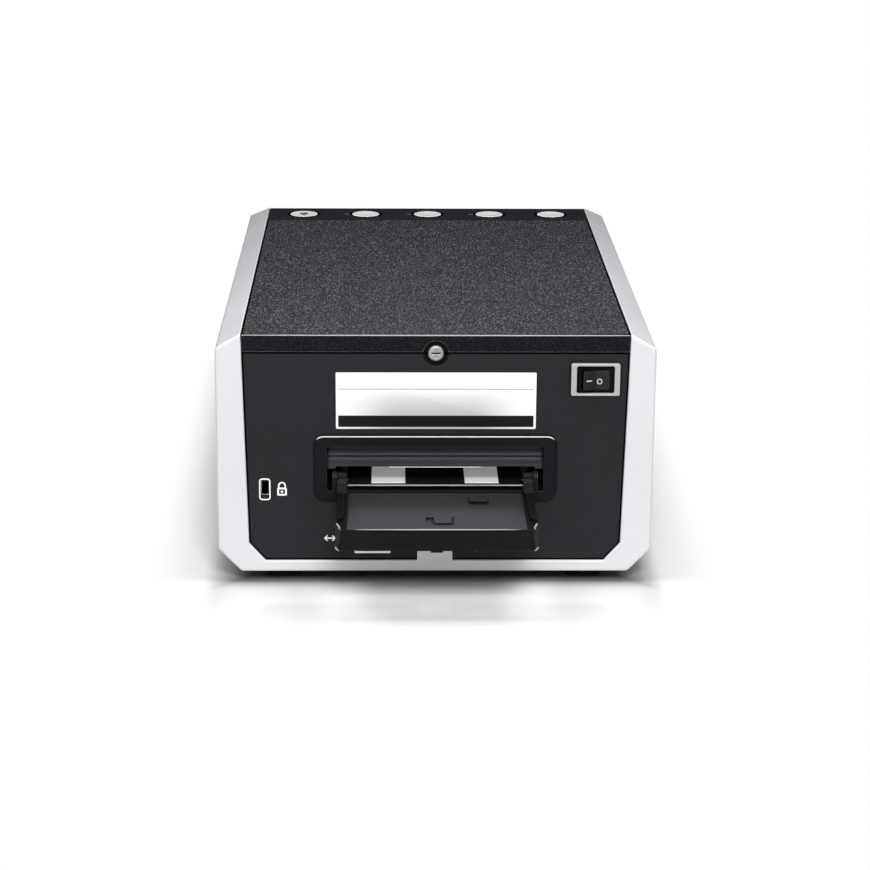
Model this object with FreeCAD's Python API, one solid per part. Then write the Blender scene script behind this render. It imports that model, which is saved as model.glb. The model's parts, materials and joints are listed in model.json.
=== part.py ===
import FreeCAD, Part
import math
import os

os.makedirs("parts", exist_ok=True)

Vector = FreeCAD.Vector

# Film scanner on its table: +Z up, +Y towards the rear face with the sockets,
# origin on the table under the middle of the part. Lengths are in millimetres.

# Overall size
case_width = 175.0
case_depth = 259.0
overall_height = 104.0
foot_height = 4.8
cut_overrun = 5.0
seam_gap = 0.25
seat_gap = 0.1
parallel_share = 0.000001

# Outer case: one silver band round both sides and the bottom
case_wall = 2.5
bottom_chamfer_run = 9.2
bottom_chamfer_rise = 9.5
top_bevel_run = 10.3
top_bevel_drop = 6.0
front_bevel_run = 9.2
case_corner_round = 2.2
case_end_chamfer = 0.8
rim_chamfer = 0.5
rim_depth = 3.0
ledge_width = 5.0
case_boss_height = 5.0
case_boss_radius = 5.0
foot_pocket_depth = 0.8
tab_width = 14.2
tab_height = 3.8

# Outline of both end panels, inside the rim of the case
panel_low_margin = 12.5
panel_low_height = 12.2
panel_foot_margin = 19.1
panel_foot_height = 4.8
panel_recess = 0.4
panel_flange_wall = 1.5
panel_flange_reach = 1.8

# Top cover with its rear lip, and the button strip in front of it
cover_sink = 0.3
cover_wall = 2.4
lip_height = 7.0
cover_edge_round = 0.8
strip_width = 27.2
cover_rib_height = 3.0
cover_rib_wall = 1.5
cover_rib_count = 5

# Cover screw in its round well, half in the lip and half in the panel
screw_drop = 7.8
well_radius = 5.0
well_depth = 1.0
tongue_wall = 1.6
screw_head_radius = 3.15
screw_head_height = 1.9
screw_head_round = 0.7
screw_shank_radius = 1.45
screw_shank_length = 9.0
screw_play = 0.05
cross_width = 1.1
cross_length = 3.6
cross_depth = 0.9
screw_boss_radius = 4.0
screw_boss_length = 8.0

# Push buttons and what they press on
button_count = 5
button_end_margin = 17.2
button_setback = 13.6
button_radius = 6.7
button_play = 0.3
button_proud = 0.15
button_edge_round = 0.5
button_dish_radius = 46.0
button_dish_depth = 0.35
button_flange_reach = 1.5
button_flange_wall = 1.0
button_travel = 0.8
button_stem_radius = 2.0
button_groove_width = 1.2
button_groove_depth = 1.2
switch_cap_radius = 1.7
switch_cap_height = 1.4
tact_side = 6.2
tact_height = 3.6
board_wall = 1.6
button_board_margin = 6.2
button_board_width = 18.0
board_post_radius = 2.3

# Film slot: the same frame, hood and door at the rear and at the front
slot_floor_height = 34.5
slot_opening_height = 18.7
slot_side_margin = 8.2
slot_opening_round = 0.6
frame_side_width = 5.05
frame_bar_height = 4.2
frame_corner_round = 4.0
frame_edge_round = 0.7
frame_proud = 1.4
sleeve_wall = 1.3
sleeve_depth = 10.0
ear_wall = 1.5
ear_radius = 3.0
guide_rest_width = 4.0
guide_rest_share = 0.25

# Hood: an apron that slopes outwards down to a ledge over the slot
hood_back_depth = 8.6
hood_top_depth = 6.2
hood_knee_depth = 2.4
hood_rise = 1.1
hood_knee_height = 2.2
hood_lip_depth = 0.9
hood_lip_height = 0.9
hood_groove_width = 0.5
hood_groove_depth = 0.35
hood_groove_share = 0.22
cheek_width = 4.8
cheek_drop = 0.9

# Film channel between the two slots
channel_floor_height = 36.6
channel_height = 6.6
channel_width = 70.4
guide_wall = 0.6
guide_margin = 5.5
guide_mouth_setback = 1.2
guide_mouth_length = 7.0
guide_end_gap = 0.9
rail_wall = 2.6
upper_guide_wall = 2.2
window_width = 24.0
window_length = 12.0
lamp_window_margin = 2.0
pad_width = 13.6
pad_length = 22.0
pad_wall = 0.4
pad_setback = 3.0
strip_light_width = 36.6
strip_light_wall = 0.5
strip_light_length = 5.0

# Door: a tray that folds down on two pins and carries the film holder
door_length = 46.8
door_side_gap = 4.1
door_floor_height = 34.0
door_wall = 10.0
door_start = 1.8
door_tip_edge = 1.2
door_tip_slope = 3.2
door_corner_run = 5.8
door_corner_width = 2.3
door_edge_round = 0.9
hinge_depth = 2.0
hinge_height = 39.6
hinge_pin_radius = 1.25
hinge_play = 0.05
knuckle_radius = 2.3
arm_width = 3.8
arm_side_gap = 0.35
arm_reach = 5.0
arm_floor_gap = 0.5
arm_hood_gap = 0.4
rail_width = 2.4
rail_height = 1.6
rail_inset = 0.5
rail_length = 36.0
stop_block_width = 6.9
stop_block_length = 7.5
stop_block_height = 1.2
stop_block_offset = 17.0
stop_block_distance = 8.0
thumb_width = 6.8
thumb_length = 7.4
thumb_height = 0.6
thumb_round = 0.9
thumb_distance = 37.2
thumb_offset = 2.4
thumb_slot_wall = 1.2
thumb_pocket_width = 3.3
thumb_pocket_length = 3.6
nib_width = 4.8
nib_length = 2.4
nib_height = 0.9

# Power rocker switch
switch_side_margin = 13.8
switch_drop = 18.25
switch_frame_width = 19.4
switch_frame_height = 13.1
switch_frame_proud = 2.0
switch_frame_round = 0.8
switch_frame_edge = 0.35
switch_rim_width = 14.8
switch_rim_height = 11.0
switch_rim_proud = 0.3
switch_body_depth = 13.0
switch_body_margin = 0.4
rocker_width = 10.8
rocker_height = 7.5
rocker_play = 0.25
rocker_thickness = 3.4
rocker_crest = 0.9
rocker_tilt = 9.0
rocker_well_depth = 6.5
rocker_axis_depth = 1.3
rocker_drop = 0.4
rocker_pin_radius = 0.9
rocker_pin_length = 0.4
terminal_width = 4.6
terminal_wall = 0.8
terminal_length = 7.0
terminal_pitch = 6.4

# Security slot and sockets on the rear panel
lock_side_margin = 8.8
lock_centre_height = 34.8
lock_slot_width = 2.9
lock_slot_height = 6.6
lock_margin = 0.3
lock_plate_width = 11.0
lock_plate_height = 20.0
lock_plate_wall = 1.2
usb_centre_x = 25.2
usb_width = 12.0
usb_height = 10.9
usb_depth = 16.5
usb_shell_wall = 0.4
usb_tongue_width = 5.6
usb_tongue_height = 3.2
usb_tongue_setback = 1.5
usb_corner_cut = 1.8
jack_centre_x = -16.7
jack_side = 10.9
jack_depth = 14.0
jack_nose_radius = 4.6
jack_bore_radius = 3.2
jack_bore_depth = 9.0
jack_pin_radius = 1.05
jack_pin_length = 8.0
socket_play = 0.3

# Main board at the bottom of the rear
main_board_half_width = 62.0
main_board_setback = 5.0
board_boss_radius = 3.5
board_screw_inset = 5.0
board_screw_radius = 1.2
board_screw_length = 5.5
board_screw_head_radius = 2.3
board_screw_head_height = 1.5
chip_side = 14.0
chip_height = 1.4
memory_width = 10.0
memory_length = 6.0
connector_width = 18.0
connector_length = 5.0
connector_height = 5.6
can_radius = 4.0
can_height = 9.0
can_count = 3
can_pitch = 10.5
can_edge_gap = 9.4

# Feet and bottom screws
foot_radius = 7.5
foot_taper = 0.9
foot_margin = 25.5
foot_hollow_radius = 3.2
foot_hollow_depth = 2.0
bottom_screw_head_radius = 3.0
bottom_screw_head_height = 1.8
bottom_screw_sink = 2.2
bottom_screw_length = 12.0
bottom_screw_front_inset = 12.0
bottom_screw_rear_inset = 10.0
bottom_screw_side_inset = 9.0
screw_edge_share = 0.33

# Optics base: a moulded trough with the mirror, lens and sensor
optics_side_gap = 1.3
optics_wall = 3.0
optics_front_margin = 21.5
optics_rear_margin = 20.0
optics_board_gap = 3.5
optics_axis_height = 22.2
optics_post_radius = 4.0
optics_post_height = 8.0
mirror_half_width = 17.0
mirror_wall = 2.0
mirror_reach = 8.5
mirror_rib_wall = 3.0
lens_radius = 9.0
lens_length = 24.0
lens_distance = 30.0
lens_glass_radius = 6.5
lens_glass_bulge = 1.2
lens_glass_rim = 1.4
lens_barrel_step = 1.5
lens_ring_length = 4.0
lens_sag_share = 0.25
lens_cradle_half_width = 12.5
lens_cradle_length = 12.0
clamp_wall = 1.0
clamp_length = 6.0
sensor_back_room = 26.0
sensor_board_half_width = 25.0
sensor_board_height = 24.0
sensor_width = 32.0
sensor_height = 7.0
sensor_depth = 2.6

# Lamp over the film window
lamp_half_width = 22.0
lamp_half_length = 14.0
lamp_height = 20.0
lamp_wall = 1.5
diffuser_half_width = 17.0
diffuser_half_length = 9.0
diffuser_wall = 1.5
led_side = 3.5
led_height = 1.2
led_count = 4
led_pitch = 8.0

# Drive train: pinion, middle gear and two roller shafts
gear_module = 1.0
gear_width = 5.0
gear_side_gap = 2.5
pinion_teeth = 14
middle_teeth = 28
roller_teeth = 20
pressure_angle = 20.0
tooth_head_share = 0.8
tooth_root_share = 1.1
tooth_backlash = 0.12
gear_web_width = 2.4
gear_hub_radius = 4.2
gear_rim_wall = 1.8
shaft_radius = 2.0
running_play = 0.05
press_play = 0.01
bush_radius = 3.0
bush_flange_radius = 4.2
bush_flange_wall = 0.8
bush_wall_gap = 0.02
roller_radius = 5.0
roller_proud = 0.3
roller_width = 7.0
roller_inset = 8.2
roller_slot_margin = 1.0
shaft_end_reach = 0.7
collar_radius = 3.2
collar_width = 0.9
collar_gap = 0.3

# Pinch rollers above the channel
holder_thickness = 5.2
pinch_radius = 4.0
pinch_shaft_radius = 1.5
pinch_width = 7.0
pinch_ear_wall = 2.5
pinch_ear_radius = 3.2
pinch_ear_inset = 1.2
pinch_shaft_overhang = 1.0

# Stepper motor on its bracket
motor_side = 35.0
motor_wall_gap = 4.8
motor_corner_cut = 3.5
motor_boss_radius = 11.0
motor_boss_play = 0.1
motor_cap_share = 0.286
motor_groove = 0.4
motor_shaft_radius = 2.5
bracket_wall = 1.5
bracket_half_width = 21.0
bracket_foot_share = 0.5
bracket_gap = 0.3
bracket_top_margin = 1.5
bracket_window_radius = 6.0

# Places worked out from the sizes above
half_width = case_width / 2
rear_face = case_depth / 2
case_low = foot_height
case_top = overall_height
inner_floor = case_low + case_wall
opening_half_width = half_width - top_bevel_run
panel_low_half_width = half_width - panel_low_margin
panel_foot_half_width = half_width - panel_foot_margin
panel_face = rear_face - panel_recess
rim_inner = rear_face - rim_depth
cover_top = case_top - cover_sink
cover_under = cover_top - cover_wall
lip_low = cover_top - lip_height
strip_front = front_bevel_run - rear_face
strip_rear = strip_front + strip_width
button_row_y = strip_rear - button_setback
button_pitch = 2 * (opening_half_width - button_end_margin) / (button_count - 1)
screw_height = case_top - screw_drop
board_seat = inner_floor + case_boss_height
channel_floor = case_low + channel_floor_height
channel_ceiling = channel_floor + channel_height
hood_low = channel_ceiling + hood_rise
slot_floor = case_low + slot_floor_height
slot_roof = slot_floor + slot_opening_height
frame_face = panel_face + frame_proud
opening_half = channel_width / 2 + slot_side_margin
door_half_width = opening_half - door_side_gap
hinge_z = case_low + hinge_height
hinge_y = rear_face - hinge_depth
door_floor = case_low + door_floor_height
door_tip = rear_face + door_length
guide_half_width = channel_width / 2 + guide_margin
roller_offset = channel_width / 2 - roller_inset
pinch_ear_offset = channel_width / 2 - pinch_ear_inset
optics_half_width = guide_half_width + optics_side_gap
gear_plane = optics_half_width + gear_side_gap
shaft_end = gear_plane + gear_width + shaft_end_reach
switch_x = switch_side_margin - opening_half_width
switch_z = case_top - switch_drop
rocker_z = switch_z - rocker_drop
lock_x = opening_half_width - lock_side_margin
roller_axis_z = channel_floor + roller_proud - roller_radius
middle_radius = gear_module * middle_teeth / 2
roller_gear_radius = gear_module * roller_teeth / 2
pinion_radius = gear_module * pinion_teeth / 2
roller_row = middle_radius + roller_gear_radius
motor_axis_z = roller_axis_z + middle_radius + pinion_radius
pinch_axis_z = channel_floor + holder_thickness + pinch_radius
bracket_inner = gear_plane + gear_width + bracket_wall - bracket_gap
motor_face = bracket_inner + bracket_wall
motor_length = half_width - case_wall - motor_wall_gap - motor_face
motor_cap_wall = motor_length * motor_cap_share
optics_rear = roller_row + optics_rear_margin
optics_front = optics_front_margin - rear_face
sensor_distance = -optics_front - sensor_back_room
main_board_rear = rim_inner - main_board_setback
main_board_front = optics_rear + optics_board_gap
bottom_screw_x = optics_half_width - bottom_screw_side_inset
bottom_screw_rows = (optics_front + bottom_screw_front_inset, optics_rear - bottom_screw_rear_inset)
bottom_screw_seat = case_low + bottom_screw_sink
foot_x = half_width - foot_margin
foot_y = rear_face - foot_margin
optics_floor = board_seat + optics_wall
optics_axis_z = case_low + optics_axis_height
guide_end = rear_face - guide_mouth_setback
socket_z = board_seat + board_wall + usb_height / 2


def box(x0, x1, y0, y1, z0, z1):
    """Block between two corners."""
    return Part.makeBox(x1 - x0, y1 - y0, z1 - z0, Vector(x0, y0, z0))


def face_of(points):
    """Flat face inside a closed outline of 3-D points."""
    return Part.Face(Part.makePolygon(points + points[:1]))


def prism_x(outline, x0, x1):
    """Outline of (y, z) points carried along X."""
    return face_of([Vector(x0, y, z) for y, z in outline]).extrude(Vector(x1 - x0, 0, 0))


def prism_y(outline, y0, y1):
    """Outline of (x, z) points carried along Y."""
    return face_of([Vector(x, y0, z) for x, z in outline]).extrude(Vector(0, y1 - y0, 0))


def prism_z(outline, z0, z1):
    """Outline of (x, y) points carried along Z."""
    return face_of([Vector(x, y, z0) for x, y in outline]).extrude(Vector(0, 0, z1 - z0))


def rod_x(radius, x0, x1, y, z):
    """Round bar along X."""
    return Part.makeCylinder(radius, x1 - x0, Vector(x0, y, z), Vector(1, 0, 0))


def rod_y(radius, y0, y1, x, z):
    """Round bar along Y."""
    return Part.makeCylinder(radius, y1 - y0, Vector(x, y0, z), Vector(0, 1, 0))


def rod_z(radius, z0, z1, x, y):
    """Round bar along Z."""
    return Part.makeCylinder(radius, z1 - z0, Vector(x, y, z0), Vector(0, 0, 1))


def inset(outline, distance):
    """Move every side of a convex anticlockwise outline inwards by a distance."""
    count = len(outline)
    sides = []
    for index in range(count):
        ax, az = outline[index]
        bx, bz = outline[(index + 1) % count]
        run = bx - ax
        rise = bz - az
        length = math.hypot(run, rise)
        sides.append((ax - rise / length * distance, az + run / length * distance, run, rise))
    corners = []
    for index in range(count):
        px, pz, run, rise = sides[index - 1]
        qx, qz, next_run, next_rise = sides[index]
        cross = run * next_rise - rise * next_run
        along = ((qx - px) * next_rise - (qz - pz) * next_run) / cross
        corners.append((px + run * along, pz + rise * along))
    return corners


def edges_along(shape, axis):
    """Straight edges of a shape that run along one axis."""
    found = []
    for edge in shape.Edges:
        if len(edge.Vertexes) < 2:
            continue
        step = edge.Vertexes[1].Point - edge.Vertexes[0].Point
        if step.Length > 0 and abs(abs(step.dot(axis)) / step.Length - 1) < parallel_share:
            found.append(edge)
    return found


def rounded_block(x0, x1, y0, y1, z0, z1, radius, axis):
    """Block whose four edges along one axis are rounded."""
    block = box(x0, x1, y0, y1, z0, z1)
    return block.makeFillet(radius, edges_along(block, axis))


def edges_on_plane(shape, axis, place):
    """Edges that lie wholly in the plane at a place along an axis."""
    found = []
    for edge in shape.Edges:
        bounds = edge.BoundBox
        low = Vector(bounds.XMin, bounds.YMin, bounds.ZMin).dot(axis)
        high = Vector(bounds.XMax, bounds.YMax, bounds.ZMax).dot(axis)
        if abs(low - place) < seat_gap and abs(high - place) < seat_gap:
            found.append(edge)
    return found


def front_copy(shape):
    """The same piece at the front, mirrored across the middle of the depth."""
    return shape.mirror(Vector(0, 0, 0), Vector(0, 1, 0))


def save(name, shape):
    """Write one piece, or one group of like pieces, as a STEP file."""
    shape.exportStep("parts/" + name + ".step")
    print(name, len(shape.Solids), round(shape.Volume / 1000, 2))


case_outline = [
    (-half_width + bottom_chamfer_run, case_low),
    (half_width - bottom_chamfer_run, case_low),
    (half_width, case_low + bottom_chamfer_rise),
    (half_width, case_top - top_bevel_drop),
    (opening_half_width, case_top),
    (-opening_half_width, case_top),
    (-half_width, case_top - top_bevel_drop),
    (-half_width, case_low + bottom_chamfer_rise),
]

panel_outline = [
    (-panel_foot_half_width, case_low + panel_foot_height),
    (panel_foot_half_width, case_low + panel_foot_height),
    (panel_low_half_width, case_low + panel_low_height),
    (opening_half_width, case_top),
    (-opening_half_width, case_top),
    (-panel_low_half_width, case_low + panel_low_height),
]

button_places = [(index - (button_count - 1) / 2) * button_pitch for index in range(button_count)]
board_post_places = [place + button_pitch / 2 for place in button_places[:-1]]
foot_places = [(x, y) for x in (-foot_x, foot_x) for y in (-foot_y, foot_y)]
bottom_screw_places = [(x, y) for x in (-bottom_screw_x, bottom_screw_x) for y in bottom_screw_rows]
board_screw_places = [
    (x, y)
    for x in (-main_board_half_width + board_screw_inset, main_board_half_width - board_screw_inset)
    for y in (main_board_front + board_screw_inset, main_board_rear - board_screw_inset)
]


def front_bevel_wedge(sink):
    """What the sloped front top edge takes away, lowered by a sink."""
    slope = top_bevel_drop / front_bevel_run
    low = case_top - top_bevel_drop - sink
    outer = -rear_face - cut_overrun
    inner = -rear_face + front_bevel_run + cut_overrun
    outline = [
        (outer, low - cut_overrun * slope),
        (inner, low + (front_bevel_run + cut_overrun) * slope),
        (inner, case_top + front_bevel_run),
        (outer, case_top + front_bevel_run),
    ]
    return prism_x(outline, -half_width - cut_overrun, half_width + cut_overrun)


def mouth_outline(reach):
    """Outline of the case's end opening, made wider by a reach and open at the top."""
    wide = inset(panel_outline, -reach)
    rim_top = case_top + cut_overrun
    high_half = wide[3][0]
    return [wide[0], wide[1], wide[2], (high_half, wide[3][1]), (high_half, rim_top),
            (-high_half, rim_top), (-high_half, wide[4][1]), wide[5]]


def mouth_bevel():
    """What the bevel round the rear opening takes away: it widens towards the rear."""
    wires = []
    for reach in (0, 2 * rim_chamfer):
        y = rear_face - rim_chamfer + reach
        points = [Vector(x, y, z) for x, z in mouth_outline(reach)]
        wires.append(Part.makePolygon(points + points[:1]))
    return Part.makeLoft(wires, True, True)


def make_outer_case():
    """Band of octagonal section with rims at both ends and a ledge for the top."""
    band = prism_y(case_outline, -rear_face, rear_face)
    long_edges = edges_along(band, Vector(0, 1, 0))
    side_edges = [edge for edge in long_edges if abs(edge.BoundBox.XMax) > opening_half_width + seat_gap
                  or abs(edge.BoundBox.XMin) > opening_half_width + seat_gap]
    band = band.makeFillet(case_corner_round, side_edges)
    band = band.makeChamfer(case_end_chamfer, edges_on_plane(band, Vector(0, 1, 0), rear_face)
                            + edges_on_plane(band, Vector(0, 1, 0), -rear_face))
    band = band.cut(front_bevel_wedge(0))
    skin = band
    hollow = prism_y(inset(case_outline, case_wall), -rim_inner, rim_inner)
    band = band.cut(hollow)
    mouth = mouth_outline(0)
    band = band.cut(prism_y(mouth, -rear_face - cut_overrun, strip_front))
    band = band.cut(prism_y(mouth, rim_inner - cut_overrun, rear_face + cut_overrun))
    bevel = mouth_bevel()
    band = band.cut([bevel, front_copy(bevel)])
    band = band.cut(box(-opening_half_width, opening_half_width, -rear_face, rear_face,
                        cover_under, case_top + cut_overrun))
    ledge_inner = opening_half_width - ledge_width
    ledge_end = rim_inner - panel_flange_wall - seat_gap
    for side in (-1, 1):
        low_x, high_x = sorted((side * ledge_inner, side * half_width))
        ledge = box(low_x, high_x, strip_front + seam_gap, ledge_end, cover_under - case_wall, cover_under)
        band = band.fuse(ledge.common(skin))
    tab = box(-tab_width / 2, tab_width / 2, rim_inner, rear_face,
              case_low + case_wall, case_low + panel_foot_height + tab_height)
    band = band.fuse(tab)
    for x, y in bottom_screw_places:
        band = band.fuse(rod_z(case_boss_radius, case_low, board_seat, x, y))
    for x, y in board_screw_places:
        band = band.fuse(rod_z(board_boss_radius, case_low + case_wall, board_seat, x, y))
    for x, y in bottom_screw_places:
        band = band.cut(rod_z(screw_shank_radius + screw_play, case_low - cut_overrun,
                              board_seat + cut_overrun, x, y))
        band = band.cut(rod_z(bottom_screw_head_radius + seam_gap, case_low - cut_overrun,
                              bottom_screw_seat, x, y))
    for x, y in board_screw_places:
        band = band.cut(rod_z(board_screw_radius + screw_play, board_seat - board_screw_length,
                              board_seat + cut_overrun, x, y))
    for x, y in foot_places:
        band = band.cut(rod_z(foot_radius + seat_gap, case_low - cut_overrun,
                              case_low + foot_pocket_depth, x, y))
    return band.removeSplitter()


def make_top_cover():
    """Grained lid: a plate with a lip turned down at the rear and ribs under it."""
    half = opening_half_width - seam_gap
    profile = [
        (strip_rear + seam_gap / 2, cover_under),
        (panel_face - cover_wall, cover_under),
        (panel_face - cover_wall, lip_low),
        (panel_face, lip_low),
        (panel_face, cover_top),
        (strip_rear + seam_gap / 2, cover_top),
    ]
    cover = prism_x(profile, -half, half)
    corner = [edge for edge in edges_along(cover, Vector(1, 0, 0))
              if edge.BoundBox.YMin > panel_face - seat_gap and edge.BoundBox.ZMin > cover_top - seat_gap]
    cover = cover.makeFillet(cover_edge_round, corner)
    rib_half = opening_half_width - ledge_width - cover_wall
    rib_step = (panel_face - strip_rear) / (cover_rib_count + 1)
    for index in range(cover_rib_count):
        y = strip_rear + rib_step * (index + 1)
        cover = cover.fuse(box(-rib_half, rib_half, y, y + cover_rib_wall,
                               cover_under - cover_rib_height, cover_under))
    well_floor = panel_face - well_depth
    cover = cover.cut(rod_y(well_radius, well_floor, panel_face + cut_overrun, 0, screw_height))
    cover = cover.fuse(rod_y(well_radius, well_floor - tongue_wall, well_floor, 0, screw_height))
    cover = cover.cut(rod_y(screw_shank_radius + screw_play, well_floor - cut_overrun,
                            panel_face, 0, screw_height))
    return cover.removeSplitter()


def make_button_panel():
    """Smooth strip with a sunk ring round each button's hole, and the posts of the button board."""
    half = opening_half_width - seam_gap
    strip = box(-half, half, strip_front + seam_gap / 2, strip_rear - seam_gap / 2,
                cover_under, cover_top)
    hole = button_radius + button_play
    for x in button_places:
        strip = strip.cut(rod_z(hole + button_groove_width, cover_top - button_groove_depth,
                                cover_top + cut_overrun, x, button_row_y))
        strip = strip.cut(rod_z(hole, cover_under - cut_overrun, cover_top + cut_overrun,
                                x, button_row_y))
    post_low = button_board_top()
    for x in board_post_places:
        post = rod_z(board_post_radius, post_low, cover_under, x, button_row_y)
        strip = strip.fuse(post)
    for x in board_post_places:
        strip = strip.cut(rod_z(board_screw_radius + screw_play, post_low,
                                post_low + board_screw_length, x, button_row_y))
    return strip.removeSplitter()


def button_stem_low():
    """Underside of a button's stem at rest, just over the cap that it presses."""
    return cover_under - seat_gap - button_flange_wall - button_travel


def button_board_top():
    """Top of the button board, below the push switches."""
    return button_stem_low() - button_travel - seat_gap - switch_cap_height - tact_height


def make_button(x):
    """Round cap with a shallow dish, a flange that holds it in, and a stem."""
    top = cover_top + button_proud
    flange_top = cover_under - seat_gap
    cap = rod_z(button_radius, flange_top, top, x, button_row_y)
    cap = cap.makeFillet(button_edge_round, edges_on_plane(cap, Vector(0, 0, 1), top))
    dish_centre = Vector(x, button_row_y, top + button_dish_radius - button_dish_depth)
    cap = cap.cut(Part.makeSphere(button_dish_radius, dish_centre))
    flange = rod_z(button_radius + button_flange_reach, flange_top - button_flange_wall,
                   flange_top, x, button_row_y)
    stem = rod_z(button_stem_radius, button_stem_low(), flange_top, x, button_row_y)
    return cap.fuse([flange, stem]).removeSplitter()


def make_button_board():
    """Long narrow circuit board with a small square push switch under each button."""
    top = button_board_top()
    half = opening_half_width - button_board_margin
    board = box(-half, half,
                button_row_y - button_board_width / 2, button_row_y + button_board_width / 2,
                top - board_wall, top)
    for x in board_post_places:
        board = board.cut(rod_z(board_screw_radius + screw_play, top - board_wall - cut_overrun,
                                top + cut_overrun, x, button_row_y))
    for x in button_places:
        body = box(x - tact_side / 2, x + tact_side / 2,
                   button_row_y - tact_side / 2, button_row_y + tact_side / 2, top, top + tact_height)
        cap = rod_z(switch_cap_radius, top + tact_height, top + tact_height + switch_cap_height,
                    x, button_row_y)
        board = board.fuse([body, cap])
    return board


def panel_blank(top):
    """Panel plate inside the rim, with a wider flange behind the rim, up to a height."""
    plate = prism_y(inset(panel_outline, seam_gap), rim_inner, panel_face)
    flange = prism_y(inset(panel_outline, -panel_flange_reach), rim_inner - panel_flange_wall,
                     rim_inner - seat_gap)
    web = prism_y(inset(panel_outline, seam_gap + panel_flange_wall), rim_inner - panel_flange_wall,
                  rim_inner)
    blank = plate.fuse([flange, web])
    above = box(-case_width, case_width, -rear_face, rear_face + cut_overrun,
                top, case_top + case_width)
    return blank.cut(above)


def cut_slot(panel):
    """Opening that the sleeve of the slot frame passes through."""
    reach = sleeve_wall + seat_gap
    return panel.cut(box(-opening_half - reach, opening_half + reach,
                         rim_inner - cut_overrun, panel_face + cut_overrun,
                         slot_floor - reach, slot_roof + reach))


def make_rear_panel():
    """Black rear wall with all its openings and the boss of the cover screw."""
    panel = cut_slot(panel_blank(lip_low - seam_gap))
    notch_half = tab_width / 2 + seam_gap
    notch_top = case_low + panel_foot_height + tab_height + seam_gap
    panel = panel.cut(box(-notch_half, notch_half, rim_inner - seat_gap, panel_face + cut_overrun,
                          case_low, notch_top))
    panel = panel.cut(rod_y(well_radius + seam_gap, rim_inner - seat_gap / 2,
                            panel_face + cut_overrun, 0, screw_height))
    boss_front = panel_face - well_depth - tongue_wall
    boss_rear = rim_inner - screw_boss_length
    panel = panel.fuse(rod_y(screw_boss_radius, boss_rear, boss_front, 0, screw_height))
    panel = panel.cut(rod_y(screw_shank_radius + screw_play, boss_front - screw_shank_length,
                            panel_face + cut_overrun, 0, screw_height))
    body_x = switch_rim_width / 2 - switch_body_margin + seat_gap
    body_z = switch_rim_height / 2 - switch_body_margin + seat_gap
    panel = panel.cut(box(switch_x - body_x, switch_x + body_x,
                          rim_inner - cut_overrun, panel_face + cut_overrun,
                          switch_z - body_z, switch_z + body_z))
    lock_z = case_low + lock_centre_height
    lock_half = lock_slot_width / 2 + lock_margin
    lock_reach = lock_slot_height / 2 + lock_margin
    panel = panel.cut(box(lock_x - lock_half, lock_x + lock_half,
                          rim_inner - cut_overrun, panel_face + cut_overrun,
                          lock_z - lock_reach, lock_z + lock_reach))
    usb_x = usb_width / 2 + socket_play
    usb_reach = usb_height / 2 + socket_play
    panel = panel.cut(box(usb_centre_x - usb_x, usb_centre_x + usb_x,
                          rim_inner - cut_overrun, panel_face + cut_overrun,
                          socket_z - usb_reach, socket_z + usb_reach))
    panel = panel.cut(rod_y(jack_nose_radius + socket_play, rim_inner - cut_overrun,
                            panel_face + cut_overrun, jack_centre_x, jack_z()))
    return panel.removeSplitter()


def jack_z():
    """Height of the power jack's axis over the main board."""
    return board_seat + board_wall + jack_side / 2


def make_front_panel():
    """Black front wall, with the sloped top edge that meets the button strip."""
    slope_top = prism_y(inset(panel_outline, seam_gap), -rear_face, -strip_front_reach())
    under = front_bevel_wedge(cover_sink + cover_wall)
    slope_top = slope_top.common(under)
    slope_top = slope_top.cut(front_bevel_wedge(cover_sink))
    blank = front_copy(panel_blank(case_top - top_bevel_drop - cover_sink))
    blank = blank.cut(front_bevel_wedge(cover_sink))
    slope_low = case_top - top_bevel_drop - cover_sink - cover_wall - cover_wall
    keep = box(-half_width, half_width, -panel_face, -strip_front_reach(), slope_low, cover_top)
    panel = blank.fuse(slope_top.common(keep))
    panel = front_copy(cut_slot(front_copy(panel)))
    return panel.removeSplitter()


def strip_front_reach():
    """Distance of the front edge of the button strip in front of the middle."""
    return -strip_front + seam_gap / 2


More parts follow.
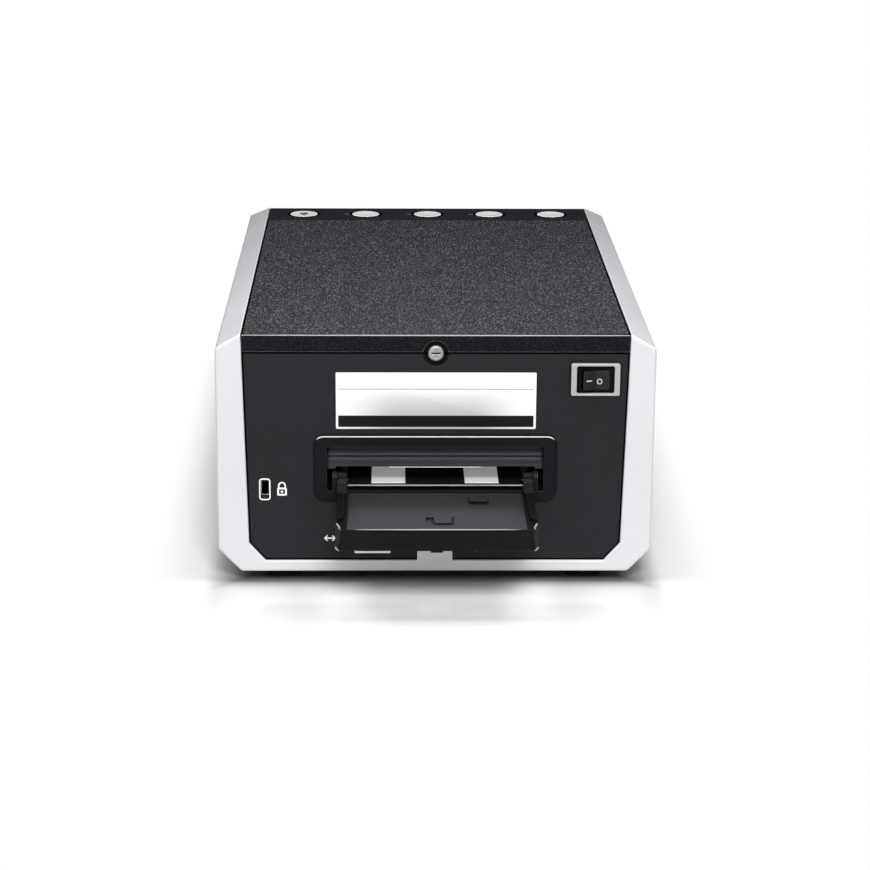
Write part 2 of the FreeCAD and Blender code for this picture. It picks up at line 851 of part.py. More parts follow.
def make_slot_frame():
    """Raised rounded frame with a sleeve through the panel and two hinge ears."""
    outer_half = opening_half + frame_side_width
    low = slot_floor - frame_bar_height
    high = slot_roof + frame_bar_height
    flange = rounded_block(-outer_half, outer_half, panel_face, frame_face, low, high,
                           frame_corner_round, Vector(0, 1, 0))
    flange = flange.makeFillet(frame_edge_round, edges_on_plane(flange, Vector(0, 1, 0), frame_face))
    sleeve_end = panel_face - sleeve_depth
    sleeve = box(-opening_half - sleeve_wall, opening_half + sleeve_wall, sleeve_end, panel_face,
                 slot_floor - sleeve_wall, slot_roof + sleeve_wall)
    frame = flange.fuse(sleeve)
    frame = frame.cut(box(-opening_half, opening_half, sleeve_end - cut_overrun, panel_face,
                          slot_floor, slot_roof))
    frame = frame.cut(rounded_block(-opening_half, opening_half, panel_face,
                                    frame_face + cut_overrun, slot_floor, slot_roof,
                                    slot_opening_round, Vector(0, 1, 0)))
    ear_start = door_half_width + arm_side_gap
    for side in (-1, 1):
        low_x, high_x = sorted((side * ear_start, side * (ear_start + ear_wall)))
        ear = rod_x(ear_radius, low_x, high_x, hinge_y, hinge_z)
        ear = ear.fuse(box(low_x, high_x, hinge_y - ear_radius, hinge_y + ear_radius,
                           slot_floor - sleeve_wall / 2, hinge_z))
        ear = ear.cut(rod_x(hinge_pin_radius + press_play, low_x - cut_overrun,
                            high_x + cut_overrun, hinge_y, hinge_z))
        frame = frame.fuse(ear)
    rest_front = panel_face - sleeve_depth
    rest_top = channel_floor - guide_wall
    for x in (-channel_width * guide_rest_share, channel_width * guide_rest_share):
        frame = frame.fuse(box(x - guide_rest_width / 2, x + guide_rest_width / 2, rest_front,
                               rest_front + guide_rest_width, slot_floor - sleeve_wall / 2, rest_top))
    return frame.removeSplitter()


def make_hood():
    """Apron over the slot, with a groove across it and a cheek at each end."""
    back = rear_face - hood_back_depth
    top = slot_roof - seat_gap
    knee = (rear_face - hood_knee_depth, hood_low + hood_knee_height)
    crown = (rear_face - hood_top_depth, top)
    lip = (rear_face - hood_lip_depth, hood_low + hood_lip_height)
    outline = [(back, hood_low), (rear_face - hood_lip_depth, hood_low), lip, knee,
               crown, (back, top)]
    half = opening_half - seat_gap
    hood = prism_x(outline, -half, half)
    groove_y = knee[0] + (crown[0] - knee[0]) * hood_groove_share
    groove_z = knee[1] + (crown[1] - knee[1]) * hood_groove_share
    hood = hood.cut(box(-half, half, groove_y - hood_groove_depth, groove_y + cut_overrun,
                        groove_z - hood_groove_width / 2, groove_z + hood_groove_width / 2))
    for side in (-1, 1):
        low_x, high_x = sorted((side * (half - cheek_width + ear_wall), side * half))
        hood = hood.fuse(box(low_x, high_x, back, rear_face - hood_lip_depth,
                             hood_low - cheek_drop, hood_low))
    return hood.removeSplitter()


def make_door():
    """Door at rest, folded down level: tray floor, side rails, hinge arms and nib."""
    start = rear_face + door_start
    under = door_floor - door_wall
    corner_y = door_tip - door_corner_run
    tip_half = door_half_width - door_corner_width
    plan = [(-door_half_width, start), (door_half_width, start), (door_half_width, corner_y),
            (tip_half, door_tip), (-tip_half, door_tip), (-door_half_width, corner_y)]
    tray = prism_z(plan, under, door_floor)
    slope_low = under - cut_overrun
    slope_top = door_floor - door_tip_edge
    slope_run = door_tip_slope * (slope_top - slope_low) / (slope_top - under)
    tray = tray.cut(prism_x([(door_tip, slope_top), (door_tip - slope_run, slope_low),
                             (door_tip + cut_overrun, slope_low), (door_tip + cut_overrun, slope_top)],
                            -door_half_width - cut_overrun, door_half_width + cut_overrun))
    tray = tray.makeFillet(door_edge_round, [edge for edge in edges_on_plane(tray, Vector(0, 0, 1), under)
                                             if edge.BoundBox.YMax > start + seat_gap])
    rail_outer = door_half_width - rail_inset
    rail_end = rear_face + rail_length + door_start
    arm_inner = door_half_width - arm_width
    floor_clear = slot_floor + arm_floor_gap
    neck_y = hinge_y + channel_ceiling - hinge_z
    neck_z = hinge_z + hinge_y - rear_face + hood_lip_depth - arm_hood_gap
    arm_profile = [
        (start + arm_reach, door_floor),
        (start + arm_reach, door_floor + rail_height),
        (neck_y, neck_z),
        (hinge_y, hinge_z + knuckle_radius),
        (hinge_y, hinge_z - knuckle_radius),
        (rear_face - hinge_depth / 2, floor_clear + rail_height),
        (start, floor_clear),
        (start, door_floor),
    ]
    solids = []
    for side in (-1, 1):
        low_x, high_x = sorted((side * (rail_outer - rail_width), side * rail_outer))
        rail = rounded_block(low_x, high_x, start, rail_end, door_floor - rail_height,
                             door_floor + rail_height, rail_width / 2 - seat_gap, Vector(0, 0, 1))
        arm_low, arm_high = sorted((side * arm_inner, side * door_half_width))
        arm = prism_x(arm_profile, arm_low, arm_high)
        knuckle = rod_x(knuckle_radius, arm_low, arm_high, hinge_y, hinge_z)
        solids += [rail, arm, knuckle]
    block_y = rear_face + stop_block_distance
    solids.append(box(-stop_block_offset - stop_block_width / 2, -stop_block_offset + stop_block_width / 2,
                      block_y, block_y + stop_block_length, door_floor - stop_block_height,
                      door_floor + stop_block_height))
    thumb_y = rear_face + thumb_distance
    thumb_right = -thumb_offset - thumb_width / 2
    thumb_left = -thumb_offset + thumb_width / 2
    thumb = rounded_block(thumb_right, thumb_left, thumb_y - thumb_length / 2,
                          thumb_y + thumb_length / 2, door_floor - thumb_height,
                          door_floor + thumb_height, thumb_round, Vector(0, 0, 1))
    solids.append(thumb)
    nib_end = door_tip - door_tip_slope - door_edge_round
    solids.append(box(-nib_width / 2, nib_width / 2, nib_end - nib_length, nib_end,
                      under - nib_height, under + nib_height))
    door = tray.fuse(solids)
    slot_y = thumb_y - thumb_length / 2
    pocket_left = thumb_left + thumb_pocket_width
    door = door.cut(box(thumb_right - thumb_slot_wall, pocket_left, slot_y - thumb_slot_wall, slot_y,
                        door_floor - thumb_height, door_floor + thumb_height))
    door = door.cut(box(thumb_left, pocket_left, slot_y, slot_y + thumb_pocket_length,
                        door_floor - thumb_height, door_floor + thumb_height))
    door = door.cut(rod_x(hinge_pin_radius + hinge_play, -door_half_width - cut_overrun,
                          door_half_width + cut_overrun, hinge_y, hinge_z))
    return door.removeSplitter()


def make_door_pins():
    """Four steel hinge pins, pressed in the ears of both frames; the doors turn on them."""
    pin_inner = door_half_width - arm_width
    pin_outer = door_half_width + arm_side_gap + ear_wall
    left = rod_x(hinge_pin_radius, -pin_outer, -pin_inner, hinge_y, hinge_z)
    right = rod_x(hinge_pin_radius, pin_inner, pin_outer, hinge_y, hinge_z)
    return Part.makeCompound([left, right, front_copy(left), front_copy(right)])


def pan_screw(head_radius, head_height, head_round, shank_radius, shank_length):
    """Pan head screw along +Y with a cross in its head, head seat at the origin."""
    head = Part.makeCylinder(head_radius, head_height, Vector(0, 0, 0), Vector(0, 1, 0))
    head = head.makeFillet(head_round, edges_on_plane(head, Vector(0, 1, 0), head_height))
    shank = Part.makeCylinder(shank_radius, shank_length, Vector(0, -shank_length, 0), Vector(0, 1, 0))
    scale_share = head_radius / screw_head_radius
    half_long = cross_length * scale_share / 2
    half_wide = cross_width * scale_share / 2
    low = head_height - cross_depth * scale_share
    cross = box(-half_long, half_long, low, head_height + cut_overrun, -half_wide, half_wide)
    cross = cross.fuse(box(-half_wide, half_wide, low, head_height + cut_overrun, -half_long, half_long))
    return head.fuse(shank).cut(cross)


def make_cover_screw():
    """The one screw that holds the top cover, seen from the rear."""
    screw = pan_screw(screw_head_radius, screw_head_height, screw_head_round,
                      screw_shank_radius, screw_shank_length)
    return screw.translated(Vector(0, panel_face - well_depth, screw_height))


def screw_along_z(screw, x, y, z, turn):
    """Turn a screw's head from +Y up or down and set its seat at a point."""
    turned = screw.rotated(Vector(0, 0, 0), Vector(1, 0, 0), turn)
    return turned.translated(Vector(x, y, z))


def make_bottom_screws():
    """Four screws up through the bottom of the case into the optics base."""
    screw = pan_screw(bottom_screw_head_radius, bottom_screw_head_height,
                      bottom_screw_head_height * screw_edge_share, screw_shank_radius, bottom_screw_length)
    screws = [screw_along_z(screw, x, y, bottom_screw_seat, -90) for x, y in bottom_screw_places]
    return Part.makeCompound(screws)


def make_board_screws():
    """Eight small screws, four in the main board and four in the button board."""
    screw = pan_screw(board_screw_head_radius, board_screw_head_height,
                      board_screw_head_height * screw_edge_share, board_screw_radius, board_screw_length)
    main_seat = board_seat + board_wall
    screws = [screw_along_z(screw, x, y, main_seat, 90) for x, y in board_screw_places]
    low_seat = button_board_top() - board_wall
    screws += [screw_along_z(screw, x, button_row_y, low_seat, -90) for x in board_post_places]
    return Part.makeCompound(screws)


def make_feet():
    """Four round rubber feet, each in its pocket under the case."""
    feet = []
    top = case_low + foot_pocket_depth
    for x, y in foot_places:
        foot = Part.makeCone(foot_radius - foot_taper, foot_radius, case_low, Vector(x, y, 0))
        foot = foot.fuse(rod_z(foot_radius, case_low, top, x, y))
        foot = foot.cut(rod_z(foot_hollow_radius, -cut_overrun, foot_hollow_depth, x, y))
        feet.append(foot.removeSplitter())
    return Part.makeCompound(feet)


def make_switch_frame():
    """Silver surround of the rocker switch."""
    z = switch_z
    half_x = switch_frame_width / 2
    half_z = switch_frame_height / 2
    top = panel_face + switch_frame_proud
    plate = rounded_block(switch_x - half_x, switch_x + half_x, panel_face, top, z - half_z, z + half_z,
                          switch_frame_round, Vector(0, 1, 0))
    rim_x = switch_rim_width / 2 + seat_gap
    rim_z = switch_rim_height / 2 + seat_gap
    plate = plate.cut(rounded_block(switch_x - rim_x, switch_x + rim_x, panel_face - cut_overrun,
                                    panel_face + cut_overrun, z - rim_z, z + rim_z,
                                    switch_frame_round, Vector(0, 1, 0)))
    return plate.makeFillet(switch_frame_edge, edges_on_plane(plate, Vector(0, 1, 0), top))


def make_switch_body():
    """Black switch housing: a rim outside, the rocker's well, two spade terminals."""
    z = switch_z
    rim_top = panel_face + switch_rim_proud
    rim = rounded_block(switch_x - switch_rim_width / 2, switch_x + switch_rim_width / 2,
                        panel_face, rim_top, z - switch_rim_height / 2, z + switch_rim_height / 2,
                        switch_frame_round, Vector(0, 1, 0))
    half_x = switch_rim_width / 2 - switch_body_margin
    half_z = switch_rim_height / 2 - switch_body_margin
    rear = panel_face - switch_body_depth
    body = box(switch_x - half_x, switch_x + half_x, rear, rim_top, z - half_z, z + half_z)
    well_x = rocker_width / 2 + rocker_play
    well_z = rocker_height / 2 + rocker_play
    body = body.fuse(rim)
    body = body.cut(box(switch_x - well_x, switch_x + well_x, rim_top - rocker_well_depth,
                        rim_top + cut_overrun, rocker_z - well_z, rocker_z + well_z))
    pin_reach = rocker_height / 2 + rocker_pin_length + seat_gap
    axis_y = rim_top - rocker_axis_depth
    body = body.cut(rod_z(rocker_pin_radius + running_play, rocker_z - pin_reach, rocker_z + pin_reach,
                          switch_x, axis_y))
    for side in (-1, 1):
        x = switch_x + side * terminal_pitch / 2
        body = body.fuse(box(x - terminal_wall / 2, x + terminal_wall / 2, rear - terminal_length,
                             rear, z - terminal_width / 2, z + terminal_width / 2))
    return body.removeSplitter()


def make_switch_rocker():
    """Rocker at rest with its right side down: a shallow V crest on two pins."""
    axis_y = panel_face + switch_rim_proud - rocker_axis_depth
    half = rocker_width / 2 - rocker_play
    outline = [
        (-half, -rocker_thickness / 2),
        (half, -rocker_thickness / 2),
        (half, rocker_axis_depth + rocker_crest),
        (0, rocker_axis_depth),
        (-half, rocker_axis_depth + rocker_crest),
    ]
    half_z = rocker_height / 2
    rocker = prism_z(outline, -half_z, half_z)
    rocker = rocker.fuse(rod_z(rocker_pin_radius, -half_z - rocker_pin_length,
                               half_z + rocker_pin_length, 0, 0))
    rocker = rocker.rotated(Vector(0, 0, 0), Vector(0, 0, 1), rocker_tilt)
    return rocker.translated(Vector(switch_x, axis_y, rocker_z)).removeSplitter()


def make_lock_plate():
    """Steel plate behind the panel round the security slot."""
    z = case_low + lock_centre_height
    back = rim_inner - panel_flange_wall
    plate = box(lock_x - lock_plate_width / 2, lock_x + lock_plate_width / 2,
                back - lock_plate_wall, back, z - lock_plate_height / 2, z + lock_plate_height / 2)
    return plate.cut(box(lock_x - lock_slot_width / 2, lock_x + lock_slot_width / 2,
                         back - cut_overrun, back + cut_overrun,
                         z - lock_slot_height / 2, z + lock_slot_height / 2))


def make_usb_socket():
    """Square data socket with two cut corners, a hollow shell and its tongue."""
    low = board_seat + board_wall
    half = usb_width / 2
    outline = [
        (usb_centre_x - half, low),
        (usb_centre_x + half, low),
        (usb_centre_x + half, low + usb_height - usb_corner_cut),
        (usb_centre_x + half - usb_corner_cut, low + usb_height),
        (usb_centre_x - half + usb_corner_cut, low + usb_height),
        (usb_centre_x - half, low + usb_height - usb_corner_cut),
    ]
    rear = panel_face - usb_depth
    shell = prism_y(outline, rear, panel_face)
    inner_wall = usb_shell_wall + usb_tongue_setback
    shell = shell.cut(prism_y(inset(outline, inner_wall), rear + inner_wall, panel_face + cut_overrun))
    middle = low + usb_height / 2
    tongue = box(usb_centre_x - usb_tongue_width / 2, usb_centre_x + usb_tongue_width / 2,
                 rear, panel_face - usb_tongue_setback,
                 middle - usb_tongue_height / 2, middle + usb_tongue_height / 2)
    return shell.fuse(tongue).removeSplitter()


def make_power_jack():
    """Round power jack: a square body, a nose through the panel and a centre pin."""
    low = board_seat + board_wall
    half = jack_side / 2
    body = box(jack_centre_x - half, jack_centre_x + half, panel_face - jack_depth,
               rim_inner - panel_flange_wall - seat_gap, low, low + jack_side)
    body = body.fuse(rod_y(jack_nose_radius, panel_face - jack_depth, panel_face,
                           jack_centre_x, jack_z()))
    body = body.cut(rod_y(jack_bore_radius, panel_face - jack_bore_depth, panel_face + cut_overrun,
                          jack_centre_x, jack_z()))
    body = body.fuse(rod_y(jack_pin_radius, panel_face - jack_bore_depth,
                           panel_face - jack_bore_depth + jack_pin_length, jack_centre_x, jack_z()))
    return body.removeSplitter()


def make_main_board():
    """Main circuit board on its four bosses."""
    board = box(-main_board_half_width, main_board_half_width, main_board_front, main_board_rear,
                board_seat, board_seat + board_wall)
    for x, y in board_screw_places:
        board = board.cut(rod_z(board_screw_radius + screw_play, board_seat - cut_overrun,
                                board_seat + board_wall + cut_overrun, x, y))
    return board


def make_board_parts():
    """Processor, two memories, two plugs and three round capacitors on the board."""
    top = board_seat + board_wall
    middle_y = (main_board_front + main_board_rear) / 2
    pieces = [box(-chip_side / 2, chip_side / 2, middle_y - chip_side / 2, middle_y + chip_side / 2,
                  top, top + chip_height)]
    for side in (-1, 1):
        x = side * (chip_side + memory_width)
        pieces.append(box(x - memory_width / 2, x + memory_width / 2, middle_y - memory_length / 2,
                          middle_y + memory_length / 2, top, top + chip_height))
        plug_x = side * main_board_half_width / 2
        plug_y = main_board_front + connector_length
        pieces.append(box(plug_x - connector_width / 2, plug_x + connector_width / 2,
                          plug_y, plug_y + connector_length, top, top + connector_height))
    for index in range(can_count):
        x = can_edge_gap - main_board_half_width + index * can_pitch
        pieces.append(rod_z(can_radius, top, top + can_height, x, main_board_rear - jack_side))
    return Part.makeCompound(pieces)


def make_optics_base():
    """Moulded trough: floor, two long walls, mirror ribs, lens cradle and posts."""
    half = optics_half_width
    top = channel_floor - guide_wall
    outline = [(-half, board_seat), (half, board_seat), (half, top), (half - optics_wall, top),
               (half - optics_wall, optics_floor), (-half + optics_wall, optics_floor),
               (-half + optics_wall, top), (-half, top)]
    base = prism_y(outline, optics_front, optics_rear)
    front_wall = box(-half, half, optics_front, optics_front + optics_wall, board_seat, top)
    rear_wall = box(-half, half, optics_rear - optics_wall, optics_rear, board_seat, top)
    solids = [front_wall, rear_wall]
    behind = mirror_wall * math.sqrt(2)
    rib_outline = [
        (-mirror_reach, optics_floor - optics_wall / 2),
        (mirror_reach, optics_floor - optics_wall / 2),
        (mirror_reach, optics_axis_z + mirror_reach - behind),
        (-mirror_reach, optics_axis_z - mirror_reach - behind),
    ]
    for side in (-1, 1):
        low_x, high_x = sorted((side * (mirror_half_width - mirror_rib_wall), side * mirror_half_width))
        solids.append(prism_x(rib_outline, low_x, high_x))
    cradle_y = -lens_distance - (lens_length + lens_cradle_length) / 2
    cradle = box(-lens_cradle_half_width, lens_cradle_half_width, cradle_y,
                 cradle_y + lens_cradle_length, optics_floor - optics_wall / 2, optics_axis_z)
    cradle = cradle.cut(rod_y(lens_radius + bush_wall_gap, cradle_y - cut_overrun,
                              cradle_y + lens_cradle_length + cut_overrun, 0, optics_axis_z))
    solids.append(cradle)
    for x, y in bottom_screw_places:
        solids.append(rod_z(optics_post_radius, board_seat, board_seat + optics_post_height, x, y))
    base = base.fuse(solids)
    for x, y in bottom_screw_places:
        base = base.cut(rod_z(screw_shank_radius + screw_play, board_seat - cut_overrun,
                              bottom_screw_seat + bottom_screw_length + seat_gap, x, y))
    for y in (-roller_row, roller_row):
        base = base.cut(rod_x(bush_radius + bush_wall_gap, -half - cut_overrun, half + cut_overrun,
                              y, roller_axis_z))
    base = base.cut(rod_x(shaft_radius + press_play, half - optics_wall - cut_overrun,
                          half + cut_overrun, 0, roller_axis_z))
    return base.removeSplitter()


def make_lower_film_guide():
    """Level metal plate from slot to slot, with the film window and roller slots."""
    low = channel_floor - guide_wall
    mouth_half = channel_width / 2
    shoulder = guide_end - guide_mouth_length
    plan = [
        (-mouth_half, -guide_end), (mouth_half, -guide_end), (mouth_half, -shoulder),
        (guide_half_width, -shoulder), (guide_half_width, shoulder), (mouth_half, shoulder),
        (mouth_half, guide_end), (-mouth_half, guide_end), (-mouth_half, shoulder),
        (-guide_half_width, shoulder), (-guide_half_width, -shoulder), (-mouth_half, -shoulder),
    ]
    plate = prism_z(plan, low, channel_floor)
    plate = plate.cut(box(-window_width / 2, window_width / 2, -window_length / 2, window_length / 2,
                          low - cut_overrun, channel_floor + cut_overrun))
    depth_below = roller_radius - roller_proud - guide_wall
    chord = math.sqrt(roller_radius ** 2 - depth_below ** 2)
    slot_y = chord + roller_slot_margin
    slot_x = roller_width / 2 + roller_slot_margin
    for x in (-roller_offset, roller_offset):
        for y in (-roller_row, roller_row):
            plate = plate.cut(box(x - slot_x, x + slot_x, y - slot_y, y + slot_y,
                                  low - cut_overrun, channel_floor + cut_overrun))
    return plate


def make_channel_rails():
    """Two side rails that guide the film holder between the plates."""
    inner = channel_width / 2
    end = rear_face - hood_back_depth - panel_recess - sleeve_wall
    rails = []
    for side in (-1, 1):
        low_x, high_x = sorted((side * inner, side * (inner + rail_wall)))
        rails.append(box(low_x, high_x, -end, end, channel_floor, channel_ceiling))
    return Part.makeCompound(rails)


def make_upper_film_guide():
    """Roof of the channel, with the lamp window and ears for the pinch rollers."""
    end = rear_face - hood_back_depth - guide_end_gap
    top = channel_ceiling + upper_guide_wall
    plate = box(-guide_half_width, guide_half_width, -end, end, channel_ceiling, top)
    lamp_x = window_width / 2 + lamp_window_margin
    lamp_y = window_length / 2 + lamp_window_margin
    plate = plate.cut(box(-lamp_x, lamp_x, -lamp_y, lamp_y, channel_ceiling - cut_overrun,
                          top + cut_overrun))
    slot_x = pinch_width / 2 + roller_slot_margin
    slot_y = pinch_radius + roller_slot_margin
    for x in (-roller_offset, roller_offset):
        for y in (-roller_row, roller_row):
            plate = plate.cut(box(x - slot_x, x + slot_x, y - slot_y, y + slot_y,
                                  channel_ceiling - cut_overrun, top + cut_overrun))
    for side in (-1, 1):
        low_x, high_x = sorted((side * pinch_ear_offset, side * (pinch_ear_offset + pinch_ear_wall)))
        for y in (-roller_row, roller_row):
            ear = rod_x(pinch_ear_radius, low_x, high_x, y, pinch_axis_z)
            ear = ear.fuse(box(low_x, high_x, y - pinch_ear_radius, y + pinch_ear_radius,
                               channel_ceiling, pinch_axis_z))
            low_part = box(low_x, high_x, y - pinch_axis_z, y + pinch_axis_z,
                           0, channel_ceiling)
            plate = plate.fuse(ear.cut(low_part))
    for y in (-roller_row, roller_row):
        plate = plate.cut(rod_x(pinch_shaft_radius + running_play, -guide_half_width,
                                guide_half_width, y, pinch_axis_z))
    return plate.removeSplitter()


def make_guide_pads():
    """White wear pads on the channel floor at each mouth, either side of the film."""
    pads = []
    for x_side in (-1, 1):
        low_x, high_x = sorted((x_side * window_width / 2, x_side * (window_width / 2 + pad_width)))
        for y_side in (-1, 1):
            outer = rear_face - pad_setback
            low_y, high_y = sorted((y_side * outer, y_side * (outer - pad_length)))
            pads.append(box(low_x, high_x, low_y, high_y, channel_floor, channel_floor + pad_wall))
    return Part.makeCompound(pads)


def make_hood_strips():
    """White strip under the lip of each hood."""
    outer = rear_face - hood_knee_depth / 2
    low = hood_low - strip_light_wall
    strip = box(-strip_light_width / 2, strip_light_width / 2, outer - strip_light_length, outer,
                low, hood_low)
    return Part.makeCompound([strip, front_copy(strip)])


def make_lamp_housing():
    """Lamp box over the window, open below."""
    low = channel_ceiling + upper_guide_wall
    outer = box(-lamp_half_width, lamp_half_width, -lamp_half_length, lamp_half_length,
                low, low + lamp_height)
    return outer.cut(box(-lamp_half_width + lamp_wall, lamp_half_width - lamp_wall,
                         -lamp_half_length + lamp_wall, lamp_half_length - lamp_wall,
                         low - cut_overrun, low + lamp_height - lamp_wall))


def make_lamp_diffuser():
    """Opal plate over the lamp window."""
    low = channel_ceiling + upper_guide_wall
    return box(-diffuser_half_width, diffuser_half_width, -diffuser_half_length, diffuser_half_length,
               low, low + diffuser_wall)


def make_lamp_board():
    """Board with four light diodes under the roof of the lamp box."""
    roof = channel_ceiling + upper_guide_wall + lamp_height - lamp_wall
    half_x = lamp_half_width - lamp_wall - seat_gap
    half_y = lamp_half_length - lamp_wall - seat_gap
    board = box(-half_x, half_x, -half_y, half_y, roof - board_wall, roof)
    for index in range(led_count):
        x = (index - (led_count - 1) / 2) * led_pitch
        board = board.fuse(box(x - led_side / 2, x + led_side / 2, -led_side / 2, led_side / 2,
                               roof - board_wall - led_height, roof - board_wall))
    return board


def make_mirror():
    """Flat mirror at 45 degrees that turns the light forwards to the lens."""
    behind = mirror_wall * math.sqrt(2)
    outline = [
        (-mirror_reach, optics_axis_z - mirror_reach - behind),
        (mirror_reach, optics_axis_z + mirror_reach - behind),
        (mirror_reach - behind / 2, optics_axis_z + mirror_reach - behind / 2),
        (-mirror_reach - behind / 2, optics_axis_z - mirror_reach - behind / 2),
    ]
    return prism_x(outline, -mirror_half_width, mirror_half_width)


def make_lens_barrel():
    """Stepped lens barrel, hollow for its glass."""
    rear = -lens_distance
    front = rear - lens_length
    barrel = rod_y(lens_radius, front, rear, 0, optics_axis_z)
    for place in (front, rear - lens_ring_length):
        ring = rod_y(lens_radius + cut_overrun, place, place + lens_ring_length, 0, optics_axis_z)
        ring = ring.cut(rod_y(lens_radius - lens_barrel_step, place - cut_overrun,
                              place + lens_length, 0, optics_axis_z))
        barrel = barrel.cut(ring)
    barrel = barrel.cut(rod_y(lens_glass_radius + bush_wall_gap, front - cut_overrun,
                              rear + cut_overrun, 0, optics_axis_z))
    return barrel


def make_lens(place, way):
    """Lens with one flat and one bulging side, turned about the optical axis."""
    rim_y = place - way * lens_glass_bulge
    flat_y = rim_y - way * lens_glass_rim
    rim_z = optics_axis_z + lens_glass_radius
    half_z = optics_axis_z + lens_glass_radius / 2
    bulge = Part.Arc(Vector(0, place, optics_axis_z),
                     Vector(0, place - way * lens_glass_bulge * lens_sag_share, half_z),
                     Vector(0, rim_y, rim_z))
    sides = Part.makePolygon([Vector(0, rim_y, rim_z), Vector(0, flat_y, rim_z),
                              Vector(0, flat_y, optics_axis_z), Vector(0, place, optics_axis_z)])
    outline = Part.Wire([bulge.toShape()] + sides.Edges)
    return Part.Face(outline).revolve(Vector(0, 0, optics_axis_z), Vector(0, 1, 0), 360)


def make_lens_glasses():
    """Two lenses in the barrel, bulging outwards."""
    rear = -lens_distance - lens_barrel_step
    front = -lens_distance - lens_length + lens_barrel_step
    return Part.makeCompound([make_lens(rear, 1), make_lens(front, -1)])


def make_lens_clamp():
    """Sheet strap over the lens barrel, with a foot on each side of the cradle."""
    inner = lens_radius + bush_wall_gap
    outer = inner + clamp_wall
    middle = -lens_distance - lens_length / 2
    low_y = middle - clamp_length / 2
    high_y = middle + clamp_length / 2
    strap = rod_y(outer, low_y, high_y, 0, optics_axis_z)
    feet = box(-lens_cradle_half_width, lens_cradle_half_width, low_y, high_y,
               optics_axis_z, optics_axis_z + clamp_wall)
    strap = strap.fuse(feet).cut(rod_y(inner, low_y - cut_overrun, high_y + cut_overrun,
                                       0, optics_axis_z))
    return strap.cut(box(-optics_half_width, optics_half_width, low_y - cut_overrun,
                         high_y + cut_overrun, 0, optics_axis_z))


def make_sensor_board():
    """Upright board in front of the lens, with the line sensor soldered on it."""
    rear = -sensor_distance
    board = box(-sensor_board_half_width, sensor_board_half_width, rear - board_wall, rear,
                optics_floor, optics_floor + sensor_board_height)
    sensor = box(-sensor_width / 2, sensor_width / 2, rear, rear + sensor_depth,
                 optics_axis_z - sensor_height / 2, optics_axis_z + sensor_height / 2)
    return board.fuse(sensor)


def involute(angle):
    """Involute function of an angle in radians."""
    return math.tan(angle) - angle


def tooth_half_angle(teeth, radius):
    """Half the angle that a tooth fills at a radius, for an involute tooth."""
    pitch = gear_module * teeth / 2
    base = pitch * math.cos(math.radians(pressure_angle))
    at_pitch = math.pi / (2 * teeth) - tooth_backlash / (4 * pitch)
    reach = max(radius, base)
    pressure = math.acos(base / reach)
    return at_pitch + involute(math.radians(pressure_angle)) - involute(pressure)


def make_gear(teeth, phase, y, z, bore, x0):
    """Spur gear along X: involute teeth, a thin web, a rim and a hub with a bore.

    The phase is the angle of one tooth's middle from +Y, in degrees.
    """
    pitch = gear_module * teeth / 2
    tip = pitch + gear_module * tooth_head_share
    root = pitch - gear_module * tooth_root_share
    base = pitch * math.cos(math.radians(pressure_angle))
    radii = [root, max(base, root), (max(base, root) + tip) / 2, tip]
    outline = []
    for index in range(teeth):
        middle = math.radians(phase) + 2 * math.pi * index / teeth
        rising = [(radius, middle - tooth_half_angle(teeth, radius)) for radius in radii]
        falling = [(radius, middle + tooth_half_angle(teeth, radius)) for radius in reversed(radii)]
        outline += rising + falling
    points = [Vector(x0, y + radius * math.cos(angle), z + radius * math.sin(angle))
              for radius, angle in outline]
    gear = face_of(points).extrude(Vector(gear_width, 0, 0))
    web_outer = root - gear_rim_wall
    if web_outer > gear_hub_radius + gear_rim_wall:
        side = (gear_width - gear_web_width) / 2
        for low_x in (x0, x0 + gear_width - side):
            dish = rod_x(web_outer, low_x, low_x + side, y, z)
            gear = gear.cut(dish.cut(rod_x(gear_hub_radius, low_x, low_x + side, y, z)))
    return gear.cut(rod_x(bore, x0 - cut_overrun, x0 + gear_width + cut_overrun, y, z))


def make_roller_shaft(y):
    """Steel shaft of two drive rollers, with an end collar."""
    start = -optics_half_width - bush_flange_wall - collar_gap - collar_width
    shaft = rod_x(shaft_radius, start, shaft_end, y, roller_axis_z)
    return shaft.fuse(rod_x(collar_radius, start, start + collar_width, y, roller_axis_z))


def make_rollers(y):
    """Pair of rubber drive rollers on one shaft."""
    rollers = []
    for x in (-roller_offset, roller_offset):
        roller = rod_x(roller_radius, x - roller_width / 2, x + roller_width / 2, y, roller_axis_z)
        rollers.append(roller.cut(rod_x(shaft_radius + press_play, x - roller_width,
                                        x + roller_width, y, roller_axis_z)))
    return Part.makeCompound(rollers)


def make_shaft_bushes():
    """Four flanged bushes in the long walls of the optics base."""
    bushes = []
    for side in (-1, 1):
        inner, outer = sorted((side * (optics_half_width - optics_wall), side * optics_half_width))
        flange = sorted((side * optics_half_width, side * (optics_half_width + bush_flange_wall)))
        for y in (-roller_row, roller_row):
            bush = rod_x(bush_radius, inner, outer, y, roller_axis_z)
            bush = bush.fuse(rod_x(bush_flange_radius, flange[0], flange[1], y, roller_axis_z))
            bushes.append(bush.cut(rod_x(shaft_radius + running_play, -case_width, case_width,
                                         y, roller_axis_z)))
    return Part.makeCompound(bushes)


def make_pinch_roller(y):
    """Two pinch rollers moulded on one thin shaft, which runs in the ears of the roof."""
    reach = pinch_ear_offset + pinch_ear_wall + pinch_shaft_overhang
    roller = rod_x(pinch_shaft_radius, -reach, reach, y, pinch_axis_z)
    for x in (-roller_offset, roller_offset):
        roller = roller.fuse(rod_x(pinch_radius, x - pinch_width / 2, x + pinch_width / 2,
                                   y, pinch_axis_z))
    return roller


